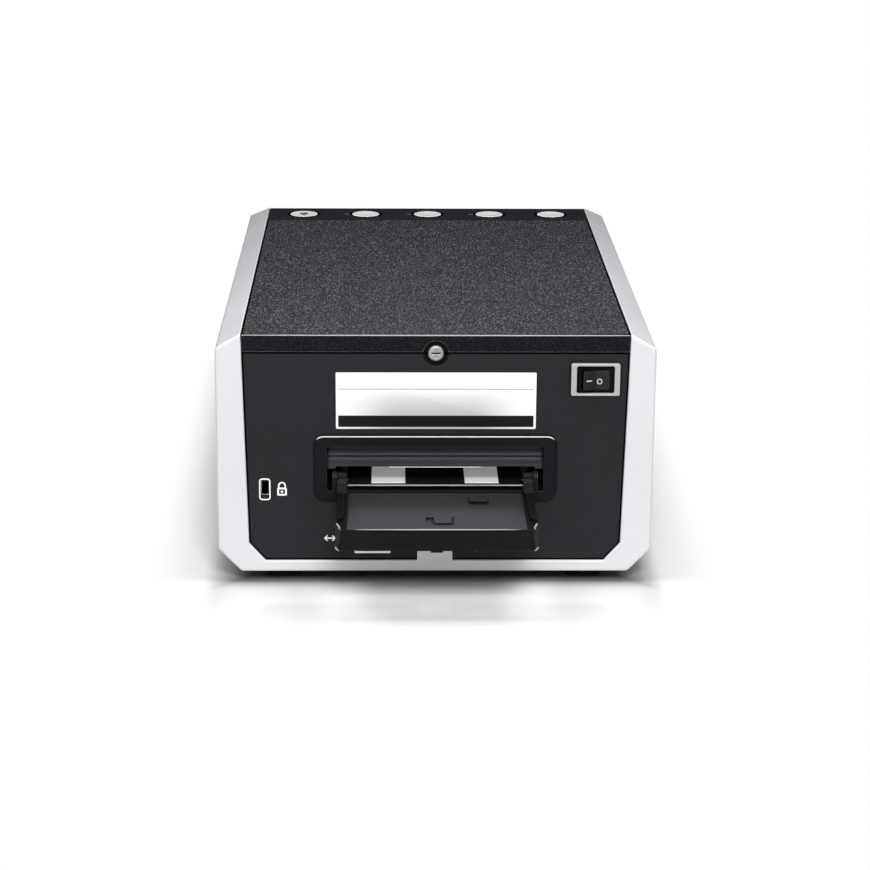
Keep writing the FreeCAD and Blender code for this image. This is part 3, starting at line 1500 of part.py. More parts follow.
def make_gear_axle():
    """Fixed stud of the middle gear, from the trough wall to the motor bracket."""
    return rod_x(shaft_radius, optics_half_width - optics_wall, motor_face,
                 0, roller_axis_z)


def make_motor_bracket():
    """Bent steel bracket: an upright plate with a foot on the case floor."""
    low_x = bracket_inner
    high_x = motor_face
    top = motor_axis_z + motor_side / 2 + bracket_top_margin
    plate = box(low_x, high_x, -bracket_half_width, bracket_half_width, inner_floor, top)
    foot = box(low_x, low_x + motor_length * bracket_foot_share, -bracket_half_width, bracket_half_width,
               inner_floor, inner_floor + bracket_wall)
    bracket = plate.fuse(foot)
    bracket = bracket.cut(rod_x(motor_boss_radius + motor_boss_play, low_x - cut_overrun,
                                high_x + cut_overrun, 0, motor_axis_z))
    bracket = bracket.cut(rod_x(shaft_radius + press_play, low_x - cut_overrun,
                                high_x + cut_overrun, 0, roller_axis_z))
    window_z = (inner_floor + roller_axis_z) / 2
    for y in (-bracket_half_width / 2, bracket_half_width / 2):
        bracket = bracket.cut(rod_x(bracket_window_radius, low_x - cut_overrun,
                                    high_x + cut_overrun, y, window_z))
    return bracket.removeSplitter()


def make_motor():
    """Square stepper motor with cut corners, end caps and a round front boss."""
    half = motor_side / 2
    cut = half - motor_corner_cut
    front = motor_face
    outline = [(-half, -cut), (-cut, -half), (cut, -half), (half, -cut),
               (half, cut), (cut, half), (-cut, half), (-half, cut)]
    placed = [(y, motor_axis_z + z) for y, z in outline]
    slim = [(y, motor_axis_z + z) for y, z in inset(outline, motor_groove)]
    end = front + motor_length
    body = prism_x(placed, front, front + motor_cap_wall)
    body = body.fuse(prism_x(slim, front + motor_cap_wall, end - motor_cap_wall))
    body = body.fuse(prism_x(placed, end - motor_cap_wall, end))
    body = body.fuse(rod_x(motor_boss_radius, front - bracket_wall, front, 0, motor_axis_z))
    return body.cut(rod_x(motor_shaft_radius + running_play, front - cut_overrun, end,
                          0, motor_axis_z))


def make_motor_shaft():
    """Shaft of the motor, which carries the pinion."""
    return rod_x(motor_shaft_radius, gear_plane, motor_face + motor_length - motor_cap_wall / 2,
                 0, motor_axis_z)


roller_gear_phase = 180 / roller_teeth
pinion_phase = 270 + 180 / pinion_teeth
bore_on_shaft = shaft_radius + press_play

save("outer_case", make_outer_case())
save("top_cover", make_top_cover())
save("button_panel", make_button_panel())
for number, place in enumerate(button_places, start=1):
    save("button_" + str(number), make_button(place))
save("button_board", make_button_board())
save("rear_panel", make_rear_panel())
save("front_panel", make_front_panel())
for end_name, place_piece in (("rear", lambda shape: shape), ("front", front_copy)):
    save(end_name + "_slot_frame", place_piece(make_slot_frame()))
    save(end_name + "_hood", place_piece(make_hood()))
    save(end_name + "_door", place_piece(make_door()))
save("door_pins", make_door_pins())
save("switch_frame", make_switch_frame())
save("switch_body", make_switch_body())
save("switch_rocker", make_switch_rocker())
save("lock_plate", make_lock_plate())
save("cover_screw", make_cover_screw())
save("bottom_screws", make_bottom_screws())
save("board_screws", make_board_screws())
save("feet", make_feet())
save("usb_socket", make_usb_socket())
save("power_jack", make_power_jack())
save("main_board", make_main_board())
save("board_parts", make_board_parts())
save("optics_base", make_optics_base())
save("lower_film_guide", make_lower_film_guide())
save("channel_rails", make_channel_rails())
save("upper_film_guide", make_upper_film_guide())
save("guide_pads", make_guide_pads())
save("hood_strips", make_hood_strips())
save("lamp_housing", make_lamp_housing())
save("lamp_diffuser", make_lamp_diffuser())
save("lamp_board", make_lamp_board())
save("mirror", make_mirror())
save("lens_barrel", make_lens_barrel())
save("lens_glasses", make_lens_glasses())
save("lens_clamp", make_lens_clamp())
save("sensor_board", make_sensor_board())
save("shaft_bushes", make_shaft_bushes())
for end_name, row in (("rear", roller_row), ("front", -roller_row)):
    save(end_name + "_roller_shaft", make_roller_shaft(row))
    save(end_name + "_rollers", make_rollers(row))
    save(end_name + "_roller_gear", make_gear(roller_teeth, roller_gear_phase, row, roller_axis_z,
                                              bore_on_shaft, gear_plane))
    save(end_name + "_pinch_roller", make_pinch_roller(row))
save("middle_gear", make_gear(middle_teeth, 0, 0, roller_axis_z, shaft_radius + running_play, gear_plane))
save("gear_axle", make_gear_axle())
save("motor_pinion", make_gear(pinion_teeth, pinion_phase, 0, motor_axis_z, motor_shaft_radius + press_play,
                               gear_plane))
save("motor_bracket", make_motor_bracket())
save("motor", make_motor())
save("motor_shaft", make_motor_shaft())
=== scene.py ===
import json
import math

import bpy
import numpy as np
from mathutils import Matrix, Vector, geometry

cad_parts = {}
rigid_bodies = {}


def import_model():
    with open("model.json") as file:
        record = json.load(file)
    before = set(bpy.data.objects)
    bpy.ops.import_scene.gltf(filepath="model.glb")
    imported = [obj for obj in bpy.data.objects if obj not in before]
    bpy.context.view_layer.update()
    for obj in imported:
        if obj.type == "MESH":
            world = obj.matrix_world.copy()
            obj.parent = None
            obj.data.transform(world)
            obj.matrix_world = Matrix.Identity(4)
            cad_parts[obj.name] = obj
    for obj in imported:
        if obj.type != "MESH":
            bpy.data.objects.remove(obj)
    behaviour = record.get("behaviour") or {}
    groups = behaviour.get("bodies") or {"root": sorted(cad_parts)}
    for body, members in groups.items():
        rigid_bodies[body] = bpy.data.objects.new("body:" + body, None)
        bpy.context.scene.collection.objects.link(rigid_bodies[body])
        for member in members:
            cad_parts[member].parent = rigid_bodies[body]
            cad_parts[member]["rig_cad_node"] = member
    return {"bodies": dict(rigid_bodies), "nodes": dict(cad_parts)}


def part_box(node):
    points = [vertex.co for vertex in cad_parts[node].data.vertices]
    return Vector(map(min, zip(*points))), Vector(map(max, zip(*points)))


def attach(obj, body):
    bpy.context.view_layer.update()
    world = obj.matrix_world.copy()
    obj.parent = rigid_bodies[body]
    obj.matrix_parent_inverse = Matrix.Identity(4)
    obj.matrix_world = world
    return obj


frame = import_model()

MM = 0.001

for leftover in [o for o in bpy.data.objects if "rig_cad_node" not in o and o not in frame["bodies"].values()]:
    bpy.data.objects.remove(leftover)
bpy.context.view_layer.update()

# The faces that carry marks: for each the directions across, up and outwards, as one looks at it.
REAR = (Vector((-1, 0, 0)), Vector((0, 0, 1)), Vector((0, 1, 0)))
FRONT = (Vector((1, 0, 0)), Vector((0, 0, 1)), Vector((0, -1, 0)))
TOP = (Vector((1, 0, 0)), Vector((0, 1, 0)), Vector((0, 0, 1)))

SHARP_ANGLE = math.radians(35)
LEAST_RADIUS = 0.01 * MM
SHORTEST_EDGE = 0.05 * MM
MARK_FOOT = 0.02 * MM  # how deep a mark's foot lies under the face that carries it
SEAM_FOOT = 0.05 * MM
SEAM_WALL = 0.04 * MM


def mm(*lengths):
    """Lengths in millimetres, turned into metres."""
    return tuple(length * MM for length in lengths)


# Shapes: grids of points carried round an outline or along a line.

def rounded_outline(width, height, radius, steps=10):
    """Closed outline of a rounded rectangle: a quarter circle about each corner's own centre, in turn."""
    radius = min(radius, width / 2, height / 2)
    turn = np.linspace(0, math.pi / 2, steps)
    angle = np.concatenate([turn + quarter * math.pi / 2 for quarter in range(4)])
    side_x = np.repeat([1, -1, -1, 1], steps)
    side_y = np.repeat([1, 1, -1, -1], steps)
    x = side_x * (width / 2 - radius) + radius * np.cos(angle)
    y = side_y * (height / 2 - radius) + radius * np.sin(angle)
    return np.stack([x, y], axis=1)


def grid_piece(name, points, close_rows=False, cap_ends=False):
    """Mesh of a grid of points: each joins the next in its row and in its column, and each row runs round.

    close_rows joins the last row to the first, and cap_ends closes the first and last rows with flat faces.
    """
    rows, columns = points.shape[:2]
    index = np.arange(rows * columns).reshape(rows, columns)
    lines = np.concatenate([index, index[:1]]) if close_rows else index
    around = np.roll(lines, -1, axis=1)
    faces = np.stack([lines[:-1], around[:-1], around[1:], lines[1:]], axis=-1).reshape(-1, 4).tolist()
    if cap_ends:
        faces += [index[0][::-1].tolist(), index[-1].tolist()]
    mesh = bpy.data.meshes.new(name)
    mesh.from_pydata(points.reshape(-1, 3).tolist(), [], faces)
    mesh.shade_smooth()
    mesh.set_sharp_from_angle(angle=SHARP_ANGLE)
    piece = bpy.data.objects.new(name, mesh)
    bpy.context.scene.collection.objects.link(piece)
    return piece


def on_face(face, centre, flat, rise):
    """Points at centre, plus each flat place across and up the face, plus its rise outwards."""
    right, high, outward = (np.array(direction) for direction in face)
    return np.array(centre) + flat[..., :1] * right + flat[..., 1:] * high + rise[..., None] * outward


def stacked_outlines(name, face, centre, size, insets, rises, **closing):
    """Copies of the outline of one width, height and radius, each drawn in and raised by its own step."""
    width, height, radius = size
    rings = [rounded_outline(width - 2 * i, height - 2 * i, max(radius - i, LEAST_RADIUS)) for i in insets]
    return grid_piece(name, on_face(face, centre, np.stack(rings), rises[:, None]), **closing)


def raised_plate(name, face, centre, size, wall, edge):
    """Plate on a face: its outline drawn in over a quarter circle at the edge, closed by flat ends."""
    turn = np.linspace(0, math.pi / 2, 4)
    insets = np.concatenate([[0], edge * (1 - np.cos(turn))])
    rises = np.concatenate([[0], wall - edge + edge * np.sin(turn)])
    return stacked_outlines(name, face, centre, size, insets, rises, cap_ends=True)


def raised_ring(name, face, centre, size, line, wall):
    """Ring on a face: a half-round ridge of that line width carried round a rounded outline."""
    turn = np.linspace(0, math.pi, 7)
    insets = np.concatenate([line / 2 - line / 2 * np.cos(turn), [line, 0]])
    rises = np.concatenate([wall * np.sin(turn), [-MARK_FOOT, -MARK_FOOT]])
    return stacked_outlines(name, face, centre, size, insets, rises, close_rows=True)


def raised_shape(name, face, centre, outline, wall):
    """Flat mark on a face: one closed outline at its foot and again at its top, closed by flat ends."""
    rises = np.array([[-MARK_FOOT], [wall]])
    return grid_piece(name, on_face(face, centre, np.stack([outline, outline]), rises), cap_ends=True)


def unit_rows(rows):
    """Each row divided by its length."""
    return rows / np.linalg.norm(rows, axis=1, keepdims=True)


def raised_line(name, face, centre, path, line, wall):
    """Line on a face: a flat oval section set square to the path at each of its points, ends closed."""
    along = unit_rows(np.gradient(path, axis=0))
    side = np.stack([-along[:, 1], along[:, 0]], axis=1)
    turn = np.linspace(0, 2 * math.pi, 12, endpoint=False)
    flat = path[:, None] + line / 2 * np.cos(turn)[:, None] * side[:, None]
    return grid_piece(name, on_face(face, centre, flat, wall * np.sin(turn)), cap_ends=True)


def tapered_bead(name, path, thick, blunt):
    """Bead along a path in space: a circle square to the path at each point.

    Its radius goes up and down as a sine to the power blunt, so a small power keeps it even to near its ends.
    """
    along = unit_rows(np.gradient(path, axis=0))
    side = unit_rows(np.cross(along, (0.0, 0.0, 1.0)))
    over = np.cross(side, along)
    share = np.linspace(0, 1, len(path))[:, None, None]
    radius = thick * np.clip(np.sin(math.pi * (0.01 + 0.98 * share)), 0, 1) ** blunt
    turn = np.linspace(0, 2 * math.pi, 12, endpoint=False)[None, :, None]
    points = path[:, None] + radius * (np.cos(turn) * side[:, None] + np.sin(turn) * over[:, None])
    return grid_piece(name, points, cap_ends=True)


def node_points(node):
    """All points of a node's mesh, at rest."""
    mesh = frame["nodes"][node].data
    points = np.empty(3 * len(mesh.vertices))
    mesh.vertices.foreach_get("co", points)
    return points.reshape(-1, 3)


def outer_outline(node, face, level, slack=0.2 * MM):
    """Outline round the points of a node that lie at one level of a face: their convex hull."""
    right, high, outward = (np.array(direction) for direction in face)
    points = node_points(node)
    points = points[np.abs(points @ outward - level) < slack]
    flat = np.stack([points @ right, points @ high], axis=1)
    return flat[geometry.convex_hull_2d(flat.tolist())]


def seam_ring(name, face, level, outline, line):
    """Shadow line of a joint: a thin flat bead just inside a closed outline, its corners mitred.

    Each corner moves in along the sum of its two edges' inward normals, by the width over one plus their dot.
    """
    edge = np.roll(outline, -1, axis=0) - outline
    outline = outline[np.linalg.norm(edge, axis=1) > SHORTEST_EDGE]
    edge = unit_rows(np.roll(outline, -1, axis=0) - outline)
    normal = np.stack([-edge[:, 1], edge[:, 0]], axis=1)
    before = np.roll(normal, 1, axis=0)
    shift = (normal + before) / (1 + np.sum(normal * before, axis=1, keepdims=True))
    if np.sum(shift * (outline.mean(axis=0) - outline)) < 0:
        shift = -shift
    flat = np.stack([outline, outline, outline + line * shift, outline + line * shift])
    rises = np.array([[-SEAM_FOOT], [SEAM_WALL], [SEAM_WALL], [-SEAM_FOOT]])
    return grid_piece(name, on_face(face, np.array(face[2]) * level, flat, rises), close_rows=True)


# Shader building: a value that is a socket is linked, and any other is set.

def fill(tree, socket, value):
    if isinstance(value, bpy.types.NodeSocket):
        tree.links.new(value, socket)
    else:
        socket.default_value = value


def put(tree, kind, sockets=None, **settings):
    made = tree.nodes.new("ShaderNode" + kind)
    for name, value in settings.items():
        setattr(made, name, value)
    for key, value in (sockets or {}).items():
        fill(tree, made.inputs[key], value)
    return made


def calc(tree, operation, *values):
    return put(tree, "Math", dict(enumerate(values)), operation=operation).outputs[0]


def times(tree, first, second):
    return calc(tree, "MULTIPLY", first, second)


def plus_part(tree, value, share, start):
    """start plus a share of value."""
    return calc(tree, "MULTIPLY_ADD", value, share, start)


def vector_calc(tree, operation, *values, output=0):
    return put(tree, "VectorMath", dict(enumerate(values)), operation=operation).outputs[output]


def parts_of(tree, vector):
    return put(tree, "SeparateXYZ", {0: vector}).outputs


def ramp(tree, value, low, high, to_low=0.0, to_high=1.0):
    """Smooth change from to_low to to_high while value goes from low to high."""
    sockets = {"Value": value, "From Min": low, "From Max": high, "To Min": to_low, "To Max": to_high}
    return put(tree, "MapRange", sockets, interpolation_type="SMOOTHSTEP").outputs[0]


def band(tree, value, low_end, high_end, soft=0.05 * MM):
    """1 between two lengths, with soft ends."""
    rising = ramp(tree, value, low_end - soft, low_end + soft)
    return times(tree, rising, ramp(tree, value, high_end + soft, high_end - soft))


def noise(tree, place, per_metre, detail, **more):
    """Noise about 0.5, with that many waves to a metre."""
    sockets = {"Vector": place, "Scale": per_metre, "Detail": detail, **more}
    return put(tree, "TexNoise", sockets).outputs["Fac"]


def blend_colours(tree, share, first, second):
    return put(tree, "Mix", {0: share, 6: first, 7: second}, data_type="RGBA").outputs[2]


def looks_up(tree):
    """How far a surface faces up: 1 on tops, 0 on upright faces, -1 underneath."""
    return parts_of(tree, tree.nodes.new("ShaderNodeNewGeometry").outputs["Normal"])["Z"]


def group_of(name, inputs, outputs):
    """Empty node group with named inputs (name, kind, default) and outputs (name, kind)."""
    tree = bpy.data.node_groups.new(name, "ShaderNodeTree")
    for label, kind, default in inputs:
        socket = tree.interface.new_socket(label, in_out="INPUT", socket_type="NodeSocket" + kind)
        if default is not None:
            socket.default_value = default
    for label, kind in outputs:
        tree.interface.new_socket(label, in_out="OUTPUT", socket_type="NodeSocket" + kind)
    return tree, tree.nodes.new("NodeGroupInput").outputs, tree.nodes.new("NodeGroupOutput").inputs


def give(tree, result, **values):
    """Links a group's values to its outputs of the same names."""
    for key, value in values.items():
        tree.links.new(value, result[key])
    return tree


def use(tree, group, **sockets):
    """Places a node group and returns its outputs."""
    made = put(tree, "Group", node_tree=group)
    for key, value in sockets.items():
        fill(tree, made.inputs[key], value)
    return made.outputs


def make_mould_grain():
    """Grain of moulded plastic: worm-like ridges, where noise passes its middle, broken up by small cells."""
    tree, given, result = group_of(
        "mould_grain",
        [("Place", "Vector", None), ("Per_metre", "Float", 1000.0)],
        [("Height", "Float"), ("Fleck", "Float"), ("Cloud", "Float")])
    place, per_metre = given["Place"], given["Per_metre"]
    worm = noise(tree, place, per_metre, 2.0, Roughness=0.55, Distortion=0.6)
    ridge = ramp(tree, calc(tree, "ABSOLUTE", calc(tree, "SUBTRACT", worm, 0.5)), 0.0, 0.09, 1.0, 0.0)
    cells = put(tree, "TexVoronoi", {"Vector": place, "Scale": per_metre}).outputs["Distance"]
    fine = noise(tree, place, times(tree, per_metre, 1.7), 1.0)
    cloud = noise(tree, place, times(tree, per_metre, 0.012), 3.0)
    return give(tree, result,
                Height=plus_part(tree, ridge, 0.7, times(tree, cells, 0.4)),
                Fleck=times(tree, ramp(tree, fine, 0.40, 0.62), ridge),
                Cloud=ramp(tree, cloud, 0.3, 0.7))


def make_edge_finder():
    """Edges of a piece: where the normal of a softly rounded copy leaves the true one.

    The brow is where that rounded normal leans between up and out, as it does along the upper edges.
    """
    tree, given, result = group_of(
        "edge_finder",
        [("Radius", "Float", 0.0004)],
        [("Edge", "Float"), ("Brow", "Float"), ("Rounded", "Vector")])
    rounded = put(tree, "Bevel", {"Radius": given["Radius"]}, samples=6).outputs[0]
    true = tree.nodes.new("ShaderNodeNewGeometry").outputs["Normal"]
    facing = vector_calc(tree, "DOT_PRODUCT", rounded, true, output=1)
    upward = parts_of(tree, rounded)["Z"]
    return give(tree, result,
                Edge=ramp(tree, facing, 0.995, 0.80),
                Brow=times(tree, ramp(tree, upward, 0.52, 0.68), ramp(tree, upward, 0.97, 0.85)),
                Rounded=rounded)


def make_handling_and_shade():
    """Traces of use: dust on what faces up, smudges in the gloss and nicks; and two masks for painted shade.

    Open is low in joints, where something else is within a millimetre or two, and shade is painted there;
    Sheltered is high under what overhangs by a few centimetres, and shade is painted there too.
    """
    tree, given, result = group_of(
        "handling_and_shade",
        [("Place", "Vector", None)],
        [(label, "Float") for label in ("Dust", "Smudge", "Scuff", "Open", "Sheltered")])
    drift = noise(tree, given["Place"], 45.0, 6.0, Roughness=0.7)
    smear = noise(tree, given["Place"], 18.0, 3.0, Distortion=1.2)
    nick = noise(tree, given["Place"], 900.0, 2.0)
    # Ambient occlusion near and far: the masks by which shade is painted into joints and under overhangs.
    nearby = put(tree, "AmbientOcclusion", {"Distance": 1.6 * MM}, samples=6).outputs["AO"]
    around = put(tree, "AmbientOcclusion", {"Distance": 34 * MM}, samples=8).outputs["AO"]
    return give(tree, result,
                Dust=times(tree, ramp(tree, looks_up(tree), 0.2, 1.0), ramp(tree, drift, 0.35, 0.75)),
                Smudge=ramp(tree, smear, 0.35, 0.7),
                Scuff=ramp(tree, nick, 0.5, 0.66),
                Open=ramp(tree, nearby, 0.45, 0.95),
                Sheltered=ramp(tree, around, 1.0, 0.74))


def make_drawn_lines():
    """Lines left by rolling, brushing or turning: noise drawn out in the direction that Squeeze makes small."""
    tree, given, result = group_of(
        "drawn_lines",
        [("Place", "Vector", None), ("Squeeze", "Vector", (1.0, 1.0, 1.0))],
        [("Height", "Float"), ("Streak", "Float")])
    squeezed = vector_calc(tree, "MULTIPLY", given["Place"], given["Squeeze"])
    return give(tree, result,
                Height=noise(tree, squeezed, 900.0, 3.0, Roughness=0.65),
                Streak=ramp(tree, noise(tree, squeezed, 140.0, 2.0), 0.35, 0.7))


mould_grain = make_mould_grain()
edge_finder = make_edge_finder()
handling_and_shade = make_handling_and_shade()
drawn_lines = make_drawn_lines()


# Materials.

def grey(value, blue=1.0):
    """Linear colour of a grey with a slight cast."""
    return (value, value, value * blue, 1.0)


def scaled(colour, share, more=0.0):
    """A share of a colour, with a little more added, and no channel above 1."""
    return tuple(min(1.0, share * channel + more) for channel in colour[:3]) + (1.0,)


def start_material(name):
    material = bpy.data.materials.new(name)
    material.use_nodes = True
    tree = material.node_tree
    tree.nodes.clear()
    shader = put(tree, "BsdfPrincipled")
    put(tree, "OutputMaterial", {"Surface": shader.outputs[0]})
    return material, tree, shader, tree.nodes.new("ShaderNodeTexCoord").outputs["Object"]


def feed(tree, shader, **sockets):
    """Gives the shader its values; underscores in a name stand for spaces."""
    for key, value in sockets.items():
        fill(tree, shader.inputs[key.replace("_", " ")], value)


def bump(tree, height, depth, normal=None):
    sockets = {"Height": height, "Distance": depth, "Strength": 1.0}
    if normal is not None:
        sockets["Normal"] = normal
    return put(tree, "Bump", sockets).outputs[0]


UPPER_SOFT = 0.2 * MM
DARK_SOFT = 0.15 * MM
BROW_SOFT = 1 * MM


def moulded_plastic(name, colour, edge_colour, roughness, per_metre, depth, glint_colour=None,
                    glint_share=0.0, edge_radius=0.35 * MM, specular=0.25, stretch=(1.0, 1.0, 1.0),
                    edge_gloss=0.18, edge_share=1.0, edge_coat=1.0, brow_share=0.0, brow_above=-1.0,
                    top_light_colour=None, upper_reach=1.0, glints_up=0.0, shaded_beyond=1.0):
    """Moulded plastic: grain in the bump, painted glints where it catches the light, rubbed edges with a
    painted highlight, dust, and painted shade in joints.

    brow_share paints a highlight on the rounded edges of tops that lie above brow_above. top_light_colour is a
    lighter colour painted on faces that look up, as light falls on them, out to upper_reach each side of the
    middle, with shade painted over it under overhangs. glints_up keeps the painted glints off the upright
    faces. Upright faces beyond shaded_beyond from the middle are painted near black, as shade.
    """
    material, tree, shader, place = start_material(name)
    facing = looks_up(tree)
    position = parts_of(tree, place)
    aside = calc(tree, "ABSOLUTE", position["X"])
    grain = use(tree, mould_grain, Place=vector_calc(tree, "MULTIPLY", place, stretch), Per_metre=per_metre)
    edges = use(tree, edge_finder, Radius=edge_radius)
    traces_and_shade = use(tree, handling_and_shade, Place=place)
    shade = blend_colours(tree, grain["Cloud"], scaled(colour, 0.80), colour)
    # Faces that look up are painted lighter, as light falls on them, and less where sheltered: painted shade
    # under overhangs.
    if top_light_colour:
        open_share = plus_part(tree, traces_and_shade["Sheltered"], -0.8, 1.0)
        within = ramp(tree, aside, upper_reach + UPPER_SOFT, upper_reach - UPPER_SOFT)
        top_light_share = times(tree, ramp(tree, facing, 0.75, 0.95), times(tree, open_share, within))
        shade = blend_colours(tree, top_light_share, shade, top_light_colour)
    # Light flecks on the grain's ridges, mostly on the tops: painted glints where the grain catches the light.
    if glint_colour:
        glints = times(tree, grain["Fleck"], glint_share)
        glints = times(tree, glints, ramp(tree, facing, 0.2, 0.8, 1.0 - glints_up, 1.0))
        shade = blend_colours(tree, glints, shade, glint_colour)
    # Edges lighter where rubbed, and the brow of upper edges painted light as a highlight.
    scuffed = plus_part(tree, traces_and_shade["Scuff"], 0.4 * edge_share, 0.45 * edge_share)
    brow = times(tree, edges["Brow"], ramp(tree, position["Z"], brow_above, brow_above + BROW_SOFT))
    rubbed_and_highlit = calc(tree, "MAXIMUM", times(tree, edges["Edge"], scuffed), times(tree, brow, brow_share))
    shade = blend_colours(tree, rubbed_and_highlit, shade, edge_colour)
    shade = blend_colours(tree, times(tree, traces_and_shade["Dust"], 0.008), shade, grey(0.5))
    # Painted shade in joints: near black where something else is within a millimetre or two.
    shade = blend_colours(tree, traces_and_shade["Open"], grey(0.001), shade)
    # Upright faces beyond that distance from the middle are painted near black, as shade on the corner facets.
    beyond = ramp(tree, aside, shaded_beyond - DARK_SOFT, shaded_beyond + DARK_SOFT)
    shade = blend_colours(tree, times(tree, beyond, ramp(tree, facing, 0.7, 0.4)), shade, grey(0.0005))
    gloss = plus_part(tree, traces_and_shade["Smudge"], -0.06, roughness)
    gloss = plus_part(tree, edges["Edge"], -edge_gloss, gloss)
    gloss = plus_part(tree, calc(tree, "SUBTRACT", 1.0, traces_and_shade["Open"]), 0.4, gloss)
    feed(tree, shader, Base_Color=shade, Roughness=gloss, Specular_IOR_Level=specular,
         Specular_Tint=(0.93, 0.91, 1.0, 1.0), Coat_Roughness=0.10,
         Coat_Weight=times(tree, edges["Edge"], times(tree, traces_and_shade["Open"], edge_coat)),
         Normal=bump(tree, grain["Height"], depth, edges["Rounded"]))
    return material


def silver_paint(name, colour, roughness=0.38, edge_radius=1.2 * MM, edge_colour=0.93):
    """Satin silver-white paint: fine bright flakes, faint orange peel, a highlight painted along the edges and
    shade painted in joints.
    """
    material, tree, shader, place = start_material(name)
    edges = use(tree, edge_finder, Radius=edge_radius)
    traces_and_shade = use(tree, handling_and_shade, Place=place)
    flakes = put(tree, "TexVoronoi", {"Vector": place, "Scale": 5200.0}).outputs["Color"]
    flake = ramp(tree, put(tree, "SeparateColor", {0: flakes}).outputs[0], 0.7, 1.0)
    shade = blend_colours(tree, times(tree, flake, 0.35), colour, scaled(colour, 1.10))
    shade = blend_colours(tree, times(tree, traces_and_shade["Smudge"], 0.05), shade, grey(0.5))
    # Painted highlight: edges lightened towards the edge colour.
    shade = blend_colours(tree, times(tree, edges["Edge"], 0.9), shade, grey(edge_colour))
    # Painted shade in joints: darker where something else is close.
    shade = blend_colours(tree, ramp(tree, traces_and_shade["Open"], 0.0, 0.6, 0.25, 1.0), grey(0.02), shade)
    gloss = plus_part(tree, traces_and_shade["Smudge"], 0.08, roughness)
    gloss = plus_part(tree, edges["Edge"], -0.12, gloss)
    feed(tree, shader, Base_Color=shade, Roughness=gloss,
         Normal=bump(tree, noise(tree, place, 1400.0, 2.0), 0.004 * MM, edges["Rounded"]))
    return material


def worked_metal(name, colour, squeeze, roughness):
    """Plated, rolled or turned metal: fine drawn lines in gloss and bump, duller in patches."""
    material, tree, shader, place = start_material(name)
    lines = use(tree, drawn_lines, Place=place, Squeeze=squeeze)
    edges = use(tree, edge_finder, Radius=0.2 * MM)
    traces_and_shade = use(tree, handling_and_shade, Place=place)
    shade = blend_colours(tree, times(tree, lines["Streak"], 0.6), colour, scaled(colour, 0.72))
    shade = blend_colours(tree, times(tree, edges["Edge"], 0.6), shade, grey(0.9))
    gloss = plus_part(tree, lines["Height"], 0.12, roughness)
    gloss = plus_part(tree, traces_and_shade["Smudge"], 0.08, gloss)
    feed(tree, shader, Base_Color=shade, Roughness=gloss, Metallic=1.0,
         Normal=bump(tree, lines["Height"], 0.004 * MM, edges["Rounded"]))
    return material


def lacquered_metal(name, lacquer, bare):
    """Film guide: black lacquer on what faces up or down, rolled metal left bare on the cut edges."""
    material, tree, shader, place = start_material(name)
    lines = use(tree, drawn_lines, Place=place, Squeeze=(0.04, 1.0, 1.0))
    traces_and_shade = use(tree, handling_and_shade, Place=place)
    coated = ramp(tree, calc(tree, "ABSOLUTE", looks_up(tree)), 0.6, 0.8)
    metal = blend_colours(tree, times(tree, lines["Streak"], 0.6), bare, scaled(bare, 0.75))
    worn = blend_colours(tree, times(tree, traces_and_shade["Scuff"], 0.15), lacquer, grey(0.03))
    gloss = plus_part(tree, lines["Height"], 0.12, 0.30)
    gloss = plus_part(tree, coated, 0.35, gloss)
    feed(tree, shader, Base_Color=blend_colours(tree, coated, metal, worn), Roughness=gloss,
         Metallic=calc(tree, "SUBTRACT", 1.0, coated), Specular_IOR_Level=0.2,
         Normal=bump(tree, lines["Height"], 0.004 * MM))
    return material


def rubber(name, colour):
    """Ground rubber: matt, fine pits, dust that stays in them."""
    material, tree, shader, place = start_material(name)
    grain = use(tree, mould_grain, Place=place, Per_metre=2500.0)
    edges = use(tree, edge_finder, Radius=0.4 * MM)
    dusty = scaled(colour, 1.8, more=0.01)
    shade = blend_colours(tree, times(tree, grain["Fleck"], 0.5), colour, dusty)
    shade = blend_colours(tree, times(tree, edges["Edge"], 0.4), shade, dusty)
    feed(tree, shader, Base_Color=shade, Roughness=0.85, Specular_IOR_Level=0.3,
         Normal=bump(tree, grain["Height"], 0.02 * MM, edges["Rounded"]))
    return material


def circuit_board(name):
    """Circuit board: solder mask over copper tracks on a lattice, pads strewn over them, bare edges."""
    material, tree, shader, place = start_material(name)
    bricks = {"Vector": place, "Scale": 120.0, "Mortar Size": 0.03,
              "Color1": grey(1.0), "Color2": grey(0.6), "Mortar": grey(0.0)}
    lattice = put(tree, "TexBrick", bricks, offset=0.3).outputs["Color"]
    track = put(tree, "SeparateColor", {0: lattice}).outputs[0]
    dots = put(tree, "TexVoronoi", {"Vector": place, "Scale": 260.0, "Randomness": 0.35}).outputs["Distance"]
    pad = ramp(tree, dots, 0.20, 0.14)
    edges = use(tree, edge_finder, Radius=0.3 * MM)
    shade = blend_colours(tree, track, (0.012, 0.085, 0.035, 1.0), (0.02, 0.14, 0.06, 1.0))
    shade = blend_colours(tree, pad, shade, (0.62, 0.55, 0.36, 1.0))
    shade = blend_colours(tree, edges["Edge"], shade, (0.35, 0.33, 0.16, 1.0))
    feed(tree, shader, Base_Color=shade, Roughness=plus_part(tree, pad, -0.1, 0.35),
         Normal=bump(tree, track, 0.02 * MM))
    return material


